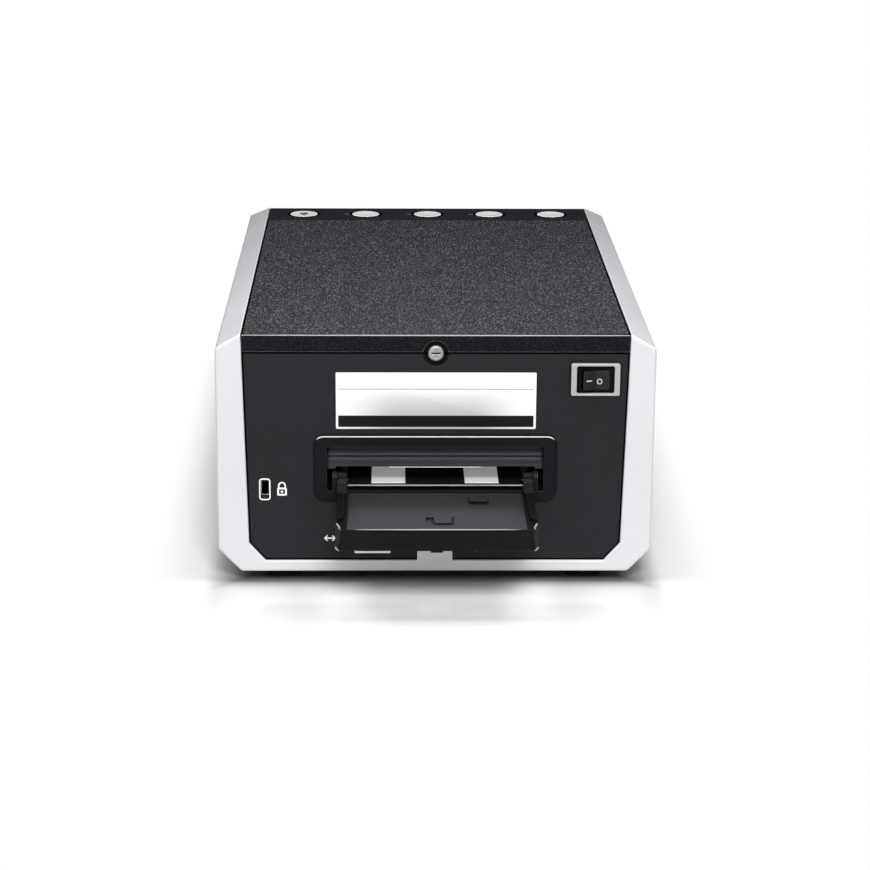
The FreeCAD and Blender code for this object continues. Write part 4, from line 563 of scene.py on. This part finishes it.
def black_epoxy(name):
    """Moulded chips and connectors: matt black with a faint fleck and paler edges."""
    material, tree, shader, place = start_material(name)
    grain = use(tree, mould_grain, Place=place, Per_metre=3500.0)
    edges = use(tree, edge_finder, Radius=0.15 * MM)
    shade = blend_colours(tree, grain["Fleck"], grey(0.012), grey(0.03))
    shade = blend_colours(tree, times(tree, edges["Edge"], 0.5), shade, grey(0.2))
    feed(tree, shader, Base_Color=shade, Roughness=0.55, Normal=bump(tree, grain["Height"], 0.01 * MM))
    return material


def opal_plastic(name):
    """Opal diffuser: milky, with a fine haze, and light spreads inside it."""
    material, tree, shader, place = start_material(name)
    haze = noise(tree, place, 300.0, 4.0)
    shade = blend_colours(tree, haze, grey(0.80), grey(0.90, blue=0.97))
    feed(tree, shader, Base_Color=shade, Roughness=0.45, Subsurface_Weight=0.3, Subsurface_Scale=1 * MM,
         Normal=bump(tree, haze, 0.004 * MM))
    return material


def mirror_glass(name):
    """Front-silvered mirror: bright metal with faint wiping traces."""
    material, tree, shader, place = start_material(name)
    traces_and_shade = use(tree, handling_and_shade, Place=place)
    shade = blend_colours(tree, traces_and_shade["Smudge"], grey(0.93), grey(0.88, blue=1.02))
    gloss = plus_part(tree, traces_and_shade["Smudge"], 0.05, 0.02)
    feed(tree, shader, Base_Color=shade, Metallic=1.0, Roughness=gloss)
    return material


def coated_glass(name):
    """Coated lens: clear glass with a faint violet coat and smudges."""
    material, tree, shader, place = start_material(name)
    traces_and_shade = use(tree, handling_and_shade, Place=place)
    shade = blend_colours(tree, traces_and_shade["Smudge"], (0.86, 0.90, 0.98, 1.0), (0.92, 0.86, 0.98, 1.0))
    feed(tree, shader, Base_Color=shade, Transmission_Weight=1.0, IOR=1.52,
         Roughness=times(tree, traces_and_shade["Smudge"], 0.04))
    return material


def natural_acetal(name):
    """Natural acetal: milk-white and waxy, with faint flow marks, smudges of oil and paler edges."""
    material, tree, shader, place = start_material(name)
    flow = use(tree, drawn_lines, Place=place, Squeeze=(0.4, 1.0, 1.0))
    edges = use(tree, edge_finder, Radius=0.25 * MM)
    traces_and_shade = use(tree, handling_and_shade, Place=place)
    shade = blend_colours(tree, flow["Streak"], grey(0.78, blue=0.94), grey(0.70, blue=0.93))
    shade = blend_colours(tree, times(tree, traces_and_shade["Smudge"], 0.3), shade, grey(0.45, blue=0.85))
    shade = blend_colours(tree, times(tree, edges["Edge"], 0.5), shade, grey(0.88))
    feed(tree, shader, Base_Color=shade, Roughness=0.42, Subsurface_Weight=0.15, Subsurface_Scale=0.8 * MM,
         Normal=bump(tree, flow["Height"], 0.004 * MM, edges["Rounded"]))
    return material


def printed_ink(name, colour, specular=0.4):
    """Printed or inlaid mark: flat ink with a slightly uneven cover."""
    material, tree, shader, place = start_material(name)
    cover = noise(tree, place, 2600.0, 3.0)
    shade = blend_colours(tree, ramp(tree, cover, 0.35, 0.6), scaled(colour, 0.86), colour)
    feed(tree, shader, Base_Color=shade, Roughness=plus_part(tree, cover, 0.2, 0.4),
         Specular_IOR_Level=specular, Normal=bump(tree, cover, 0.003 * MM))
    return material


def felt_with_painted_glow(name):
    """White wear pad: flecked felt with faint smudges, and a weak painted glow from its emission that brightens
    it as if lit.
    """
    material, tree, shader, place = start_material(name)
    grain = use(tree, mould_grain, Place=place, Per_metre=2400.0)
    traces_and_shade = use(tree, handling_and_shade, Place=place)
    shade = blend_colours(tree, grain["Fleck"], grey(0.90), grey(0.97))
    shade = blend_colours(tree, times(tree, traces_and_shade["Smudge"], 0.12), shade, grey(0.6))
    # Painted glow: the pad emits a share of its own colour.
    feed(tree, shader, Base_Color=shade, Roughness=0.8, Emission_Color=shade, Emission_Strength=0.22,
         Normal=bump(tree, grain["Height"], 0.02 * MM))
    return material


# Label plate: the place of its middle on the rear face, its size, and the lines on it from that middle.
LABEL_X, LABEL_Z = mm(-0.15, 76.65)
LABEL_WIDTH, LABEL_HEIGHT, LABEL_RADIUS = mm(79.7, 23.3, 0.5)
LABEL_MARGIN = 0.9 * MM
LABEL_RULE = mm(4.65, 5.0)
LABEL_BAR = (-LABEL_HEIGHT / 2 + 0.8 * MM, -6.1 * MM)


def label_foil(name):
    """Bare rating plate of brushed silver foil, with a painted reflection that greys it low in the middle, one
    rule and a black bar.
    """
    material, tree, shader, place = start_material(name)
    local = parts_of(tree, vector_calc(tree, "SUBTRACT", place, (LABEL_X, 0.0, LABEL_Z)))
    across, up = local["X"], local["Z"]
    half_width, half_height = LABEL_WIDTH / 2, LABEL_HEIGHT / 2
    brushed = use(tree, drawn_lines, Place=place, Squeeze=(0.03, 1.0, 1.0))
    from_middle = calc(tree, "DIVIDE", calc(tree, "ABSOLUTE", across), half_width)
    # Painted reflection: greyer low in the middle, fading to the top and the ends.
    low = ramp(tree, up, half_height * 0.75, -half_height * 0.5)
    painted_reflection_share = times(tree, low, ramp(tree, from_middle, 0.98, 0.35, 0.0, 1.0))
    shade = blend_colours(tree, painted_reflection_share, grey(0.86), grey(0.52, blue=1.03))
    shade = blend_colours(tree, times(tree, brushed["Streak"], 0.12), shade, grey(0.5))
    inside = band(tree, across, -half_width + LABEL_MARGIN, half_width - LABEL_MARGIN)
    rule = times(tree, band(tree, up, *LABEL_RULE), inside)
    bar = times(tree, band(tree, up, *LABEL_BAR), inside)
    shade = blend_colours(tree, times(tree, rule, 0.75), shade, grey(0.12))
    shade = blend_colours(tree, bar, shade, grey(0.006, blue=1.1))
    feed(tree, shader, Base_Color=shade, Roughness=0.42, Specular_IOR_Level=0.12,
         Normal=bump(tree, brushed["Height"], 0.002 * MM))
    return material


# One finish for each material slot of the record.
finishes = {
    "case_silver": silver_paint("satin_silver_paint", grey(0.615, blue=1.045)),
    # Charcoal cover: light glints painted on the grain of its tops, and edges lightened by wear and a painted
    # highlight.
    "cover_charcoal": moulded_plastic(
        "charcoal_leather_grain", grey(0.0035, blue=1.4), grey(0.30), 0.52, 1150.0, 0.42 * MM,
        grey(0.23, blue=1.16), 1.0, edge_radius=0.5 * MM, specular=0.10, stretch=(1.0, 0.42, 1.0),
        glints_up=0.86),
    "strip_black": moulded_plastic(
        "blue_black_strip", (0.005, 0.0045, 0.009, 1.0), grey(0.10), 0.48, 2600.0, 0.012 * MM, specular=0.06),
    "panel_black": moulded_plastic(
        "spark_eroded_black", grey(0.008, blue=1.25), grey(0.08), 0.55, 3000.0, 0.03 * MM,
        grey(0.05), 0.25, specular=0.20),
    # Frame: a near white highlight painted on the brow of its upper edge; its other edges barely rubbed.
    "slot_black": moulded_plastic(
        "satin_black_frame", grey(0.0055, blue=1.3), grey(0.90), 0.42, 3400.0, 0.012 * MM,
        edge_radius=0.3 * MM, specular=0.10, edge_share=0.06, brow_share=1.0, brow_above=59 * MM),
    # Door: its tops painted lighter as if lit, with shade painted near the slot and on its corner facets.
    "door_black": moulded_plastic(
        "satin_black_door", grey(0.003, blue=1.14), grey(0.12), 0.46, 2800.0, 0.02 * MM,
        grey(0.06), 0.1, specular=0.10, edge_share=0.6, edge_coat=0.0, brow_share=0.05,
        top_light_colour=grey(0.052, blue=1.14), upper_reach=34.6 * MM, shaded_beyond=36.9 * MM),
    "switch_black": moulded_plastic(
        "gloss_black_switch", grey(0.006), grey(0.10), 0.30, 3600.0, 0.02 * MM, edge_radius=0.25 * MM),
    "trim_white": silver_paint(
        "bright_white_trim", grey(0.94, blue=1.01), roughness=0.28, edge_radius=0.3 * MM),
    "button_silver": silver_paint(
        "satin_button_silver", grey(0.82, blue=1.02), roughness=0.30, edge_radius=0.5 * MM),
    "steel": worked_metal("plated_steel", grey(0.58, blue=1.01), (1.0, 1.0, 0.25), 0.26),
    "guide_metal": lacquered_metal("lacquered_guide", grey(0.004), grey(0.80, blue=1.02)),
    "foot_rubber": rubber("matt_foot_rubber", grey(0.022)),
    "roller_rubber": rubber("ground_roller_rubber", grey(0.055)),
    "board_green": circuit_board("green_circuit_board"),
    "chip_black": black_epoxy("black_epoxy"),
    "inner_black": moulded_plastic("matt_inner_black", grey(0.010), grey(0.03), 0.68, 2200.0, 0.03 * MM),
    "diffuser_opal": opal_plastic("opal_diffuser"),
    "mirror": mirror_glass("silvered_mirror"),
    "lens_glass": coated_glass("coated_lens_glass"),
    "bush_bronze": worked_metal("plain_bronze", (0.52, 0.34, 0.13, 1.0), (0.3, 1.0, 1.0), 0.34),
    "motor_black": moulded_plastic("black_lacquer", grey(0.018), grey(0.12), 0.34, 1800.0, 0.01 * MM),
    "gear_white": natural_acetal("natural_acetal"),
}
hood_plastic = moulded_plastic(
    "satin_black_hood", grey(0.037, blue=1.2), grey(0.04), 0.50, 3400.0, 0.012 * MM,
    edge_radius=0.3 * MM, specular=0.16, edge_gloss=0.0, edge_coat=0.0)

# Nodes that differ from the others of their slot.
own_finish = {
    "switch_frame": silver_paint(
        "satin_surround_silver", grey(0.36, blue=1.03), edge_radius=0.45 * MM, edge_colour=1.0),
    "switch_body": moulded_plastic(
        "black_switch_body", grey(0.002), grey(0.10), 0.36, 3600.0, 0.02 * MM,
        edge_radius=0.25 * MM, specular=0.06, edge_coat=0.0),
    "guide_pads": felt_with_painted_glow("white_felt"),
    "cover_screw": worked_metal("nickelled_screw", grey(0.36), (1.0, 1.0, 0.25), 0.36),
    "door_pins": worked_metal("blackened_pin", grey(0.02), (0.3, 1.0, 1.0), 0.45),
    "rear_hood": hood_plastic,
    "front_hood": hood_plastic,
    "hood_strips": printed_ink("light_strip", grey(0.95)),
}

foil = label_foil("label_foil")
# White print, also laid as painted highlight lines on the case's corners.
white_ink_and_highlight = printed_ink("white_ink_and_highlight", grey(0.93))
grey_ink = printed_ink("grey_ink", grey(0.22, blue=1.15))
dark_ink = printed_ink("dark_ink", grey(0.03))
sign_grey = printed_ink("sign_grey", grey(0.52))
seam_dark = printed_ink("seam_shadow", grey(0.0008), specular=0.0)
# Painted highlights: pale beads laid along edges that catch the light.
edge_highlight_paint = printed_ink("painted_highlight_edge", grey(0.34, blue=1.03), specular=0.5)
corner_highlight_paint = printed_ink("polished_corner", grey(0.40, blue=1.03), specular=0.5)


def dress_nodes():
    """Gives every node of the frame its own finish, or else that of its slot."""
    for name, node in frame["nodes"].items():
        for place, slot in enumerate(node.data.materials):
            node.material_slots[place].link = "OBJECT"
            node.material_slots[place].material = own_finish.get(name) or finishes[slot.name.split(".")[0]]


def settle(piece, body, material):
    """Finishes a new piece: its material and the body it rides on."""
    piece.data.materials.append(material)
    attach(piece, body)


# The scene's own pieces.

panel_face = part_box("rear_panel")[1].y
strip_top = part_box("button_panel")[1].z

# Places on the rear panel in millimetres, as X and Z.
LOCK, LOCK_SIGN = (68.4, 39.6), (61.5, 39.6)
DATA_SOCKET, POWER_JACK, PORT_SIGN = (25.2, 19.35), (-16.7, 19.35), (42.4, 18.9)
SIGN_WALL = 0.10 * MM
BUTTONS = ("button_5", "button_4", "button_3", "button_2", "button_1")  # from the left, seen from behind


def on_panel(x, z):
    """Place on the rear panel's face."""
    return np.array([x * MM, panel_face, z * MM])


def padlock_sign(centre):
    """Padlock: a body with rounded corners, a half-round shackle with short legs, and a keyhole in it."""
    turn = np.linspace(math.pi, 0, 17)
    arch = np.stack([1.25 * np.cos(turn), 0.7 + 1.25 * np.sin(turn)], axis=1)
    path = np.concatenate([[(-1.25, -0.4)], arch, [(1.25, -0.4)]]) * MM
    over, under = centre + (0, 0, 0.9 * MM), centre - (0, 0, 0.95 * MM)
    return [
        raised_line("lock_sign_shackle", REAR, over, path, 0.62 * MM, SIGN_WALL),
        raised_ring("lock_sign_body", REAR, under, mm(3.9, 3.4, 0.5), 0.75 * MM, SIGN_WALL),
        raised_plate("lock_sign_keyhole", REAR, under, mm(1.0, 1.0, 0.5), SIGN_WALL, edge=0.03 * MM)]


def two_way_sign(centre, reach, head):
    """Data in and out: one line with an arrow head at each end, each a bent path of three points."""
    paths = {"line": np.stack([np.linspace(-reach, reach, 9), np.zeros(9)], axis=1)}
    for side, label in ((-1, "left"), (1, "right")):
        paths[label] = np.array([[reach - head, head], [reach, 0.0], [reach - head, -head]]) * (side, 1)
    return [raised_line("port_sign_" + label, REAR, centre, path * MM, 0.55 * MM, SIGN_WALL)
            for label, path in paths.items()]


def rear_marks():
    """The bare label, the outlines round lock and sockets, and the two signs beside them."""
    label = raised_plate("label_plate", REAR, (LABEL_X, panel_face, LABEL_Z),
                         (LABEL_WIDTH, LABEL_HEIGHT, LABEL_RADIUS), 0.12 * MM, edge=0.05 * MM)
    settle(label, "casing", foil)
    outlines = (
        ("lock_outline", LOCK, (4.6, 9.2, 1.3), 0.55, 0.12),
        ("data_socket_outline", DATA_SOCKET, (14.6, 13.8, 0.5), 0.9, 0.15),
        ("power_jack_outline", POWER_JACK, (12.0, 12.0, 6.0), 0.7, 0.12),
    )
    marks = [raised_ring(name, REAR, on_panel(*middle), mm(*size), line * MM, wall * MM)
             for name, middle, size, line, wall in outlines]
    marks += padlock_sign(on_panel(*LOCK_SIGN)) + two_way_sign(on_panel(*PORT_SIGN), reach=2.1, head=1.1)
    for mark in marks:
        settle(mark, "casing", white_ink_and_highlight)


def rocker_signs():
    """Dash and ring on the two sloping halves of the rocker, each laid on its own half and turned with it."""
    low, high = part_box("switch_rocker")
    points = node_points("switch_rocker")
    aside = points[:, 0] - (low.x + high.x) / 2
    near_middle = points[np.abs(aside) < 0.8 * MM]
    crest = near_middle[near_middle[:, 1].argmax()]
    ridge = Vector((crest[0], crest[1], (low.z + high.z) / 2))
    places = []
    for side, reach, drop in ((1, 0.55, 0.2 * MM), (-1, 0.28, 0.6 * MM)):
        outer = points[aside * side > 4.0 * MM]
        top = outer[outer[:, 1].argmax()]
        run = Vector((top[0] - crest[0], top[1] - crest[1], 0.0))
        right = (run * -side).normalized()
        face = (right, Vector((0, 0, 1)), Vector((right.y, -right.x, 0.0)))
        places.append((face, ridge + run * reach - Vector((0, 0, drop))))
    dash = raised_plate("rocker_dash", *places[0], mm(2.4, 0.55, 0.2), 0.06 * MM, edge=0.03 * MM)
    ring = raised_ring("rocker_ring", *places[1], mm(2.2, 2.4, 1.1), 0.45 * MM, 0.06 * MM)
    for sign in (dash, ring):
        settle(sign, "rocker", sign_grey)


def seams():
    """Shadow lines where the two panels and the cover meet the case."""
    joints = (
        ("rear_panel_seam", "rear_panel", REAR, panel_face, 0.5 * MM),
        ("front_panel_seam", "front_panel", FRONT, -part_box("front_panel")[0].y, 0.5 * MM),
        ("cover_seam", "top_cover", TOP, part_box("top_cover")[1].z, 0.55 * MM),
    )
    for name, node, face, level, line in joints:
        outline = outer_outline(node, face, level)
        settle(seam_ring(name, face, level, outline, line), "casing", seam_dark)


def straight_bead(name, start, end, thick, steps=24, blunt=0.5):
    """Bead along the straight line between two places, all in millimetres."""
    return tapered_bead(name, np.linspace(start, end, steps) * MM, thick * MM, blunt)


def cover_edge():
    """Painted highlight: a bright line along the cover's rear edge."""
    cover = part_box("top_cover")[1] / MM
    half, y, z = cover.x - 0.2, cover.y - 0.35, cover.z - 0.35
    line = straight_bead("cover_edge", (-half, y, z), (half, y, z), 0.34, steps=60, blunt=0.12)
    settle(line, "casing", edge_highlight_paint)


def door_beads(door, side):
    """Painted highlights: bright lines along a door's tip and down its corners. side is 1 at the rear and -1 at
    the front.
    """
    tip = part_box("rear_door")[1].y / MM
    corners = (
        ("top", (39.15, 8.6, 38.5), (37.1, 0.5, 38.5)),
        ("foot", (39.4, 6.4, 29.5), (37.8, 2.9, 29.2)),
    )

    def place(x, before_tip, z):
        return (x, side * (tip - before_tip), z)

    ends = place(36.8, 0.12, 38.68), place(-36.8, 0.12, 38.68)
    line = straight_bead(door + "_tip_edge", *ends, 0.26, steps=40)
    settle(line, door, edge_highlight_paint)
    for hand, label in ((1, "left"), (-1, "right")):
        for height, (x, before, z), (end_x, end_before, end_z) in corners:
            bead = straight_bead(door + "_corner_" + height + "_" + label,
                                 place(hand * x, before, z), place(hand * end_x, end_before, end_z), 0.5)
            settle(bead, door, corner_highlight_paint)


def case_corners():
    """Painted highlights: white lines down the slants of the case's two upper corners at the rear."""
    case_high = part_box("outer_case")[1] / MM
    y = case_high.y - 0.4
    for hand, label in ((1, "left"), (-1, "right")):
        bead = straight_bead("case_corner_" + label, (hand * 77.9, y, case_high.z - 0.75),
                             (hand * 86.2, y, case_high.z - 5.6), 0.38, blunt=0.2)
        settle(bead, "casing", white_ink_and_highlight)


def above(node, level, aside=0.0):
    """Place at one level over the middle of a node, or aside of it."""
    low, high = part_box(node)
    return np.array([(low.x + high.x) / 2 + aside, (low.y + high.y) / 2, level])


def button_signs():
    """Eject sign on the outer button, a dark ring round each as the painted shadow of its groove, and pale
    strokes before the next three.
    """
    outer = BUTTONS[0]
    top = above(outer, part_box(outer)[1].z)
    shapes = {
        "eject_wedge": [mm(-2.1, -0.2), mm(2.1, -0.2), mm(0.0, 2.0)],
        "eject_bar": [mm(-2.1, -1.7), mm(2.1, -1.7), mm(2.1, -0.9), mm(-2.1, -0.9)],
    }
    for name, outline in shapes.items():
        settle(raised_shape(name, TOP, top, outline, 0.05 * MM), outer, dark_ink)
    for name in BUTTONS:
        spot = above(name, strip_top)
        # Painted shadow of the groove round the button.
        ring = raised_ring(name + "_ring", TOP, spot, mm(15.8, 15.8, 7.9), 1.15 * MM, 0.03 * MM)
        settle(ring, "casing", seam_dark)
    path = np.array([[1.1, -0.5], [0.2, 0.3], [-1.3, 1.2]]) * MM
    for name in BUTTONS[1:4]:
        spot = above(name, strip_top, aside=8.9 * MM)
        stroke = raised_line(name + "_stroke", TOP, spot, path, 0.5 * MM, 0.05 * MM)
        settle(stroke, "casing", grey_ink)


dress_nodes()
rear_marks()
rocker_signs()
seams()
cover_edge()
door_beads("rear_door", 1)
door_beads("front_door", -1)
case_corners()
button_signs()


# Camera, light and floor.

def set_camera():
    """Camera solved from the corners of the case: its tilt, turn and roll, and its place in metres."""
    tilt, turn, roll = (math.radians(angle) for angle in (16.770, 1.103, 0.352))
    forward = Vector((-math.sin(turn) * math.cos(tilt), -math.cos(turn) * math.cos(tilt), -math.sin(tilt)))
    level = forward.cross(Vector((0, 0, 1))).normalized()
    upright = level.cross(forward)
    right = math.cos(roll) * level + math.sin(roll) * upright
    up = math.cos(roll) * upright - math.sin(roll) * level
    data = bpy.data.cameras.new("photo_camera")
    data.lens = 101.28
    data.sensor_width = 36.0
    data.clip_start = 0.01
    camera = bpy.data.objects.new("photo_camera", data)
    camera.matrix_world = Matrix((right, up, -forward)).transposed().to_4x4()
    camera.location = (0.0182, 1.0649, 0.3445)
    bpy.context.scene.collection.objects.link(camera)
    bpy.context.scene.camera = camera


def add_lamp(name, place, target, size, power):
    """Rectangular soft lamp at a place, turned to a target."""
    data = bpy.data.lights.new(name, "AREA")
    data.shape = "RECTANGLE"
    data.size, data.size_y = size
    data.energy = power
    lamp = bpy.data.objects.new(name, data)
    lamp.location = place
    lamp.rotation_euler = (Vector(target) - Vector(place)).to_track_quat("-Z", "Y").to_euler()
    bpy.context.scene.collection.objects.link(lamp)


def set_world(ambient):
    """World: white to the camera and to mirrors and glass, and a softer level as a light."""
    world = bpy.data.worlds.new("studio_white")
    bpy.context.scene.world = world
    world.use_nodes = True
    tree = world.node_tree
    tree.nodes.clear()
    ray = tree.nodes.new("ShaderNodeLightPath").outputs
    seen = calc(tree, "MAXIMUM", calc(tree, "MAXIMUM", ray["Is Camera Ray"], ray["Is Glossy Ray"]),
                ray["Is Transmission Ray"])
    strength = plus_part(tree, seen, 1.0 - ambient, ambient)
    back = put(tree, "Background", {"Color": grey(1.0), "Strength": strength})
    put(tree, "OutputWorld", {"Surface": back.outputs[0]})


FLOOR_RINGS = (4.0, 1.0, 0.25, 0.0005)  # radii in metres, inwards, so that the faces look up
CASE_HALF = (0.0875, 0.1295, 0.0)
CONTACT_HALF = (0.083, 0.1295, 0.0)  # half sizes of the painted shadow under the case


def floor_tone(tree, place, ahead, aside):
    """Colour that the camera sees, with shadow painted in: dark under the case, one tone before it, another
    before the open door that stands in for its shadow and mirror image, and faintly grey beside it.
    """
    across = calc(tree, "ABSOLUTE", parts_of(tree, place)["X"])
    from_contact = vector_calc(tree, "SUBTRACT", vector_calc(tree, "ABSOLUTE", place), CONTACT_HALF)
    signed = parts_of(tree, from_contact)
    outside = calc(tree, "MAXIMUM", signed["X"], signed["Y"])
    # Painted shadow and mirror image: tones before the case and before the open door, and grey beside it.
    before_case = blend_colours(tree, ramp(tree, ahead, 0.0, 0.045), grey(0.78), grey(0.94))
    before_door = blend_colours(tree, ramp(tree, ahead, 0.030, 0.062), grey(1.45), grey(0.92))
    tone = blend_colours(tree, ramp(tree, across, 0.030, 0.056), before_door, before_case)
    tone = blend_colours(tree, ramp(tree, aside, 0.0, 0.008), tone, grey(0.98))
    # Painted shadow under the case: near black inside the contact outline.
    return blend_colours(tree, ramp(tree, outside, -0.010, 0.011), grey(0.015), tone)


def make_floor():
    """White floor: it keeps the shadow, with more shadow painted in, and a faint mirror image beside the
    object, and is plain white beyond.

    Seen from below it is clear, so that the underside shows.
    """
    turn = np.linspace(0, 2 * math.pi, 96, endpoint=False)
    reach = np.array(FLOOR_RINGS)[:, None]
    level = np.zeros((len(reach), len(turn)))
    floor = grid_piece("floor", np.stack([reach * np.cos(turn), reach * np.sin(turn), level], axis=-1))
    material = bpy.data.materials.new("white_floor")
    material.use_nodes = True
    tree = material.node_tree
    tree.nodes.clear()
    place = tree.nodes.new("ShaderNodeTexCoord").outputs["Object"]
    ray = tree.nodes.new("ShaderNodeLightPath").outputs
    beyond = vector_calc(tree, "SUBTRACT", vector_calc(tree, "ABSOLUTE", place), CASE_HALF)
    beyond = parts_of(tree, vector_calc(tree, "MAXIMUM", beyond, (0.0, 0.0, 0.0)))
    ahead, aside = beyond["Y"], beyond["X"]
    colour = blend_colours(tree, ray["Is Camera Ray"], grey(0.80), floor_tone(tree, place, ahead, aside))
    matt = put(tree, "BsdfDiffuse", {"Color": colour})
    gloss = put(tree, "BsdfGlossy", {"Color": grey(1.0), "Roughness": 0.10})
    image_share = ramp(tree, ahead, 0.02, 0.085, 0.13, 0.08)
    near = put(tree, "MixShader", {0: image_share, 1: matt.outputs[0], 2: gloss.outputs[0]})
    white = put(tree, "Emission", {"Color": grey(1.0), "Strength": 1.0})
    seen = calc(tree, "MAXIMUM", ray["Is Camera Ray"], ray["Is Glossy Ray"])
    far = calc(tree, "MAXIMUM", ramp(tree, aside, 0.006, 0.032), ramp(tree, ahead, 0.068, 0.092))
    top = put(tree, "MixShader", {0: times(tree, seen, far), 1: near.outputs[0], 2: white.outputs[0]})
    from_below = tree.nodes.new("ShaderNodeNewGeometry").outputs["Backfacing"]
    clear = put(tree, "BsdfTransparent")
    whole = put(tree, "MixShader", {0: from_below, 1: top.outputs[0], 2: clear.outputs[0]})
    put(tree, "OutputMaterial", {"Surface": whole.outputs[0]})
    floor.data.materials.append(material)


def make_flag(name, low, high):
    """Dark card seen in reflections only, so that black pieces stay black: a thin box between two corners."""
    (x0, y0, z0), (x1, y1, z1) = low, high
    ends = [[[x0, y, z0], [x1, y, z0], [x1, y, z1], [x0, y, z1]] for y in (y1, y0)]
    flag = grid_piece(name, np.array(ends), cap_ends=True)
    material = bpy.data.materials.new("dark_card")
    material.use_nodes = True
    card = material.node_tree.nodes["Principled BSDF"].inputs
    card["Base Color"].default_value = grey(0.01)
    card["Roughness"].default_value = 0.9
    flag.data.materials.append(material)
    for kind in ("camera", "diffuse", "shadow", "transmission", "volume_scatter"):
        setattr(flag, "visible_" + kind, False)


set_camera()
set_world(ambient=0.30)
add_lamp("key_softbox", (-0.12, 1.28, 1.01), (0, 0.13, 0.05), (0.40, 0.30), 12.0)
add_lamp("fill_softbox", (0.15, 1.50, 0.30), (0, 0.15, 0.03), (0.80, 0.20), 4.3)
add_lamp("top_softbox", (0.0, 0.17, 0.41), (0, 0.12, 0.10), (0.50, 0.12), 1.2)
make_floor()
make_flag("dark_card_behind", (-0.45, -0.304, 0.0), (0.45, -0.30, 0.215))
make_flag("dark_card_left", (0.60, 0.0, 0.0), (0.604, 0.9, 0.35))
make_flag("dark_card_right", (-0.604, 0.0, 0.0), (-0.60, 0.9, 0.35))

bpy.context.scene.view_settings.view_transform = "Standard"
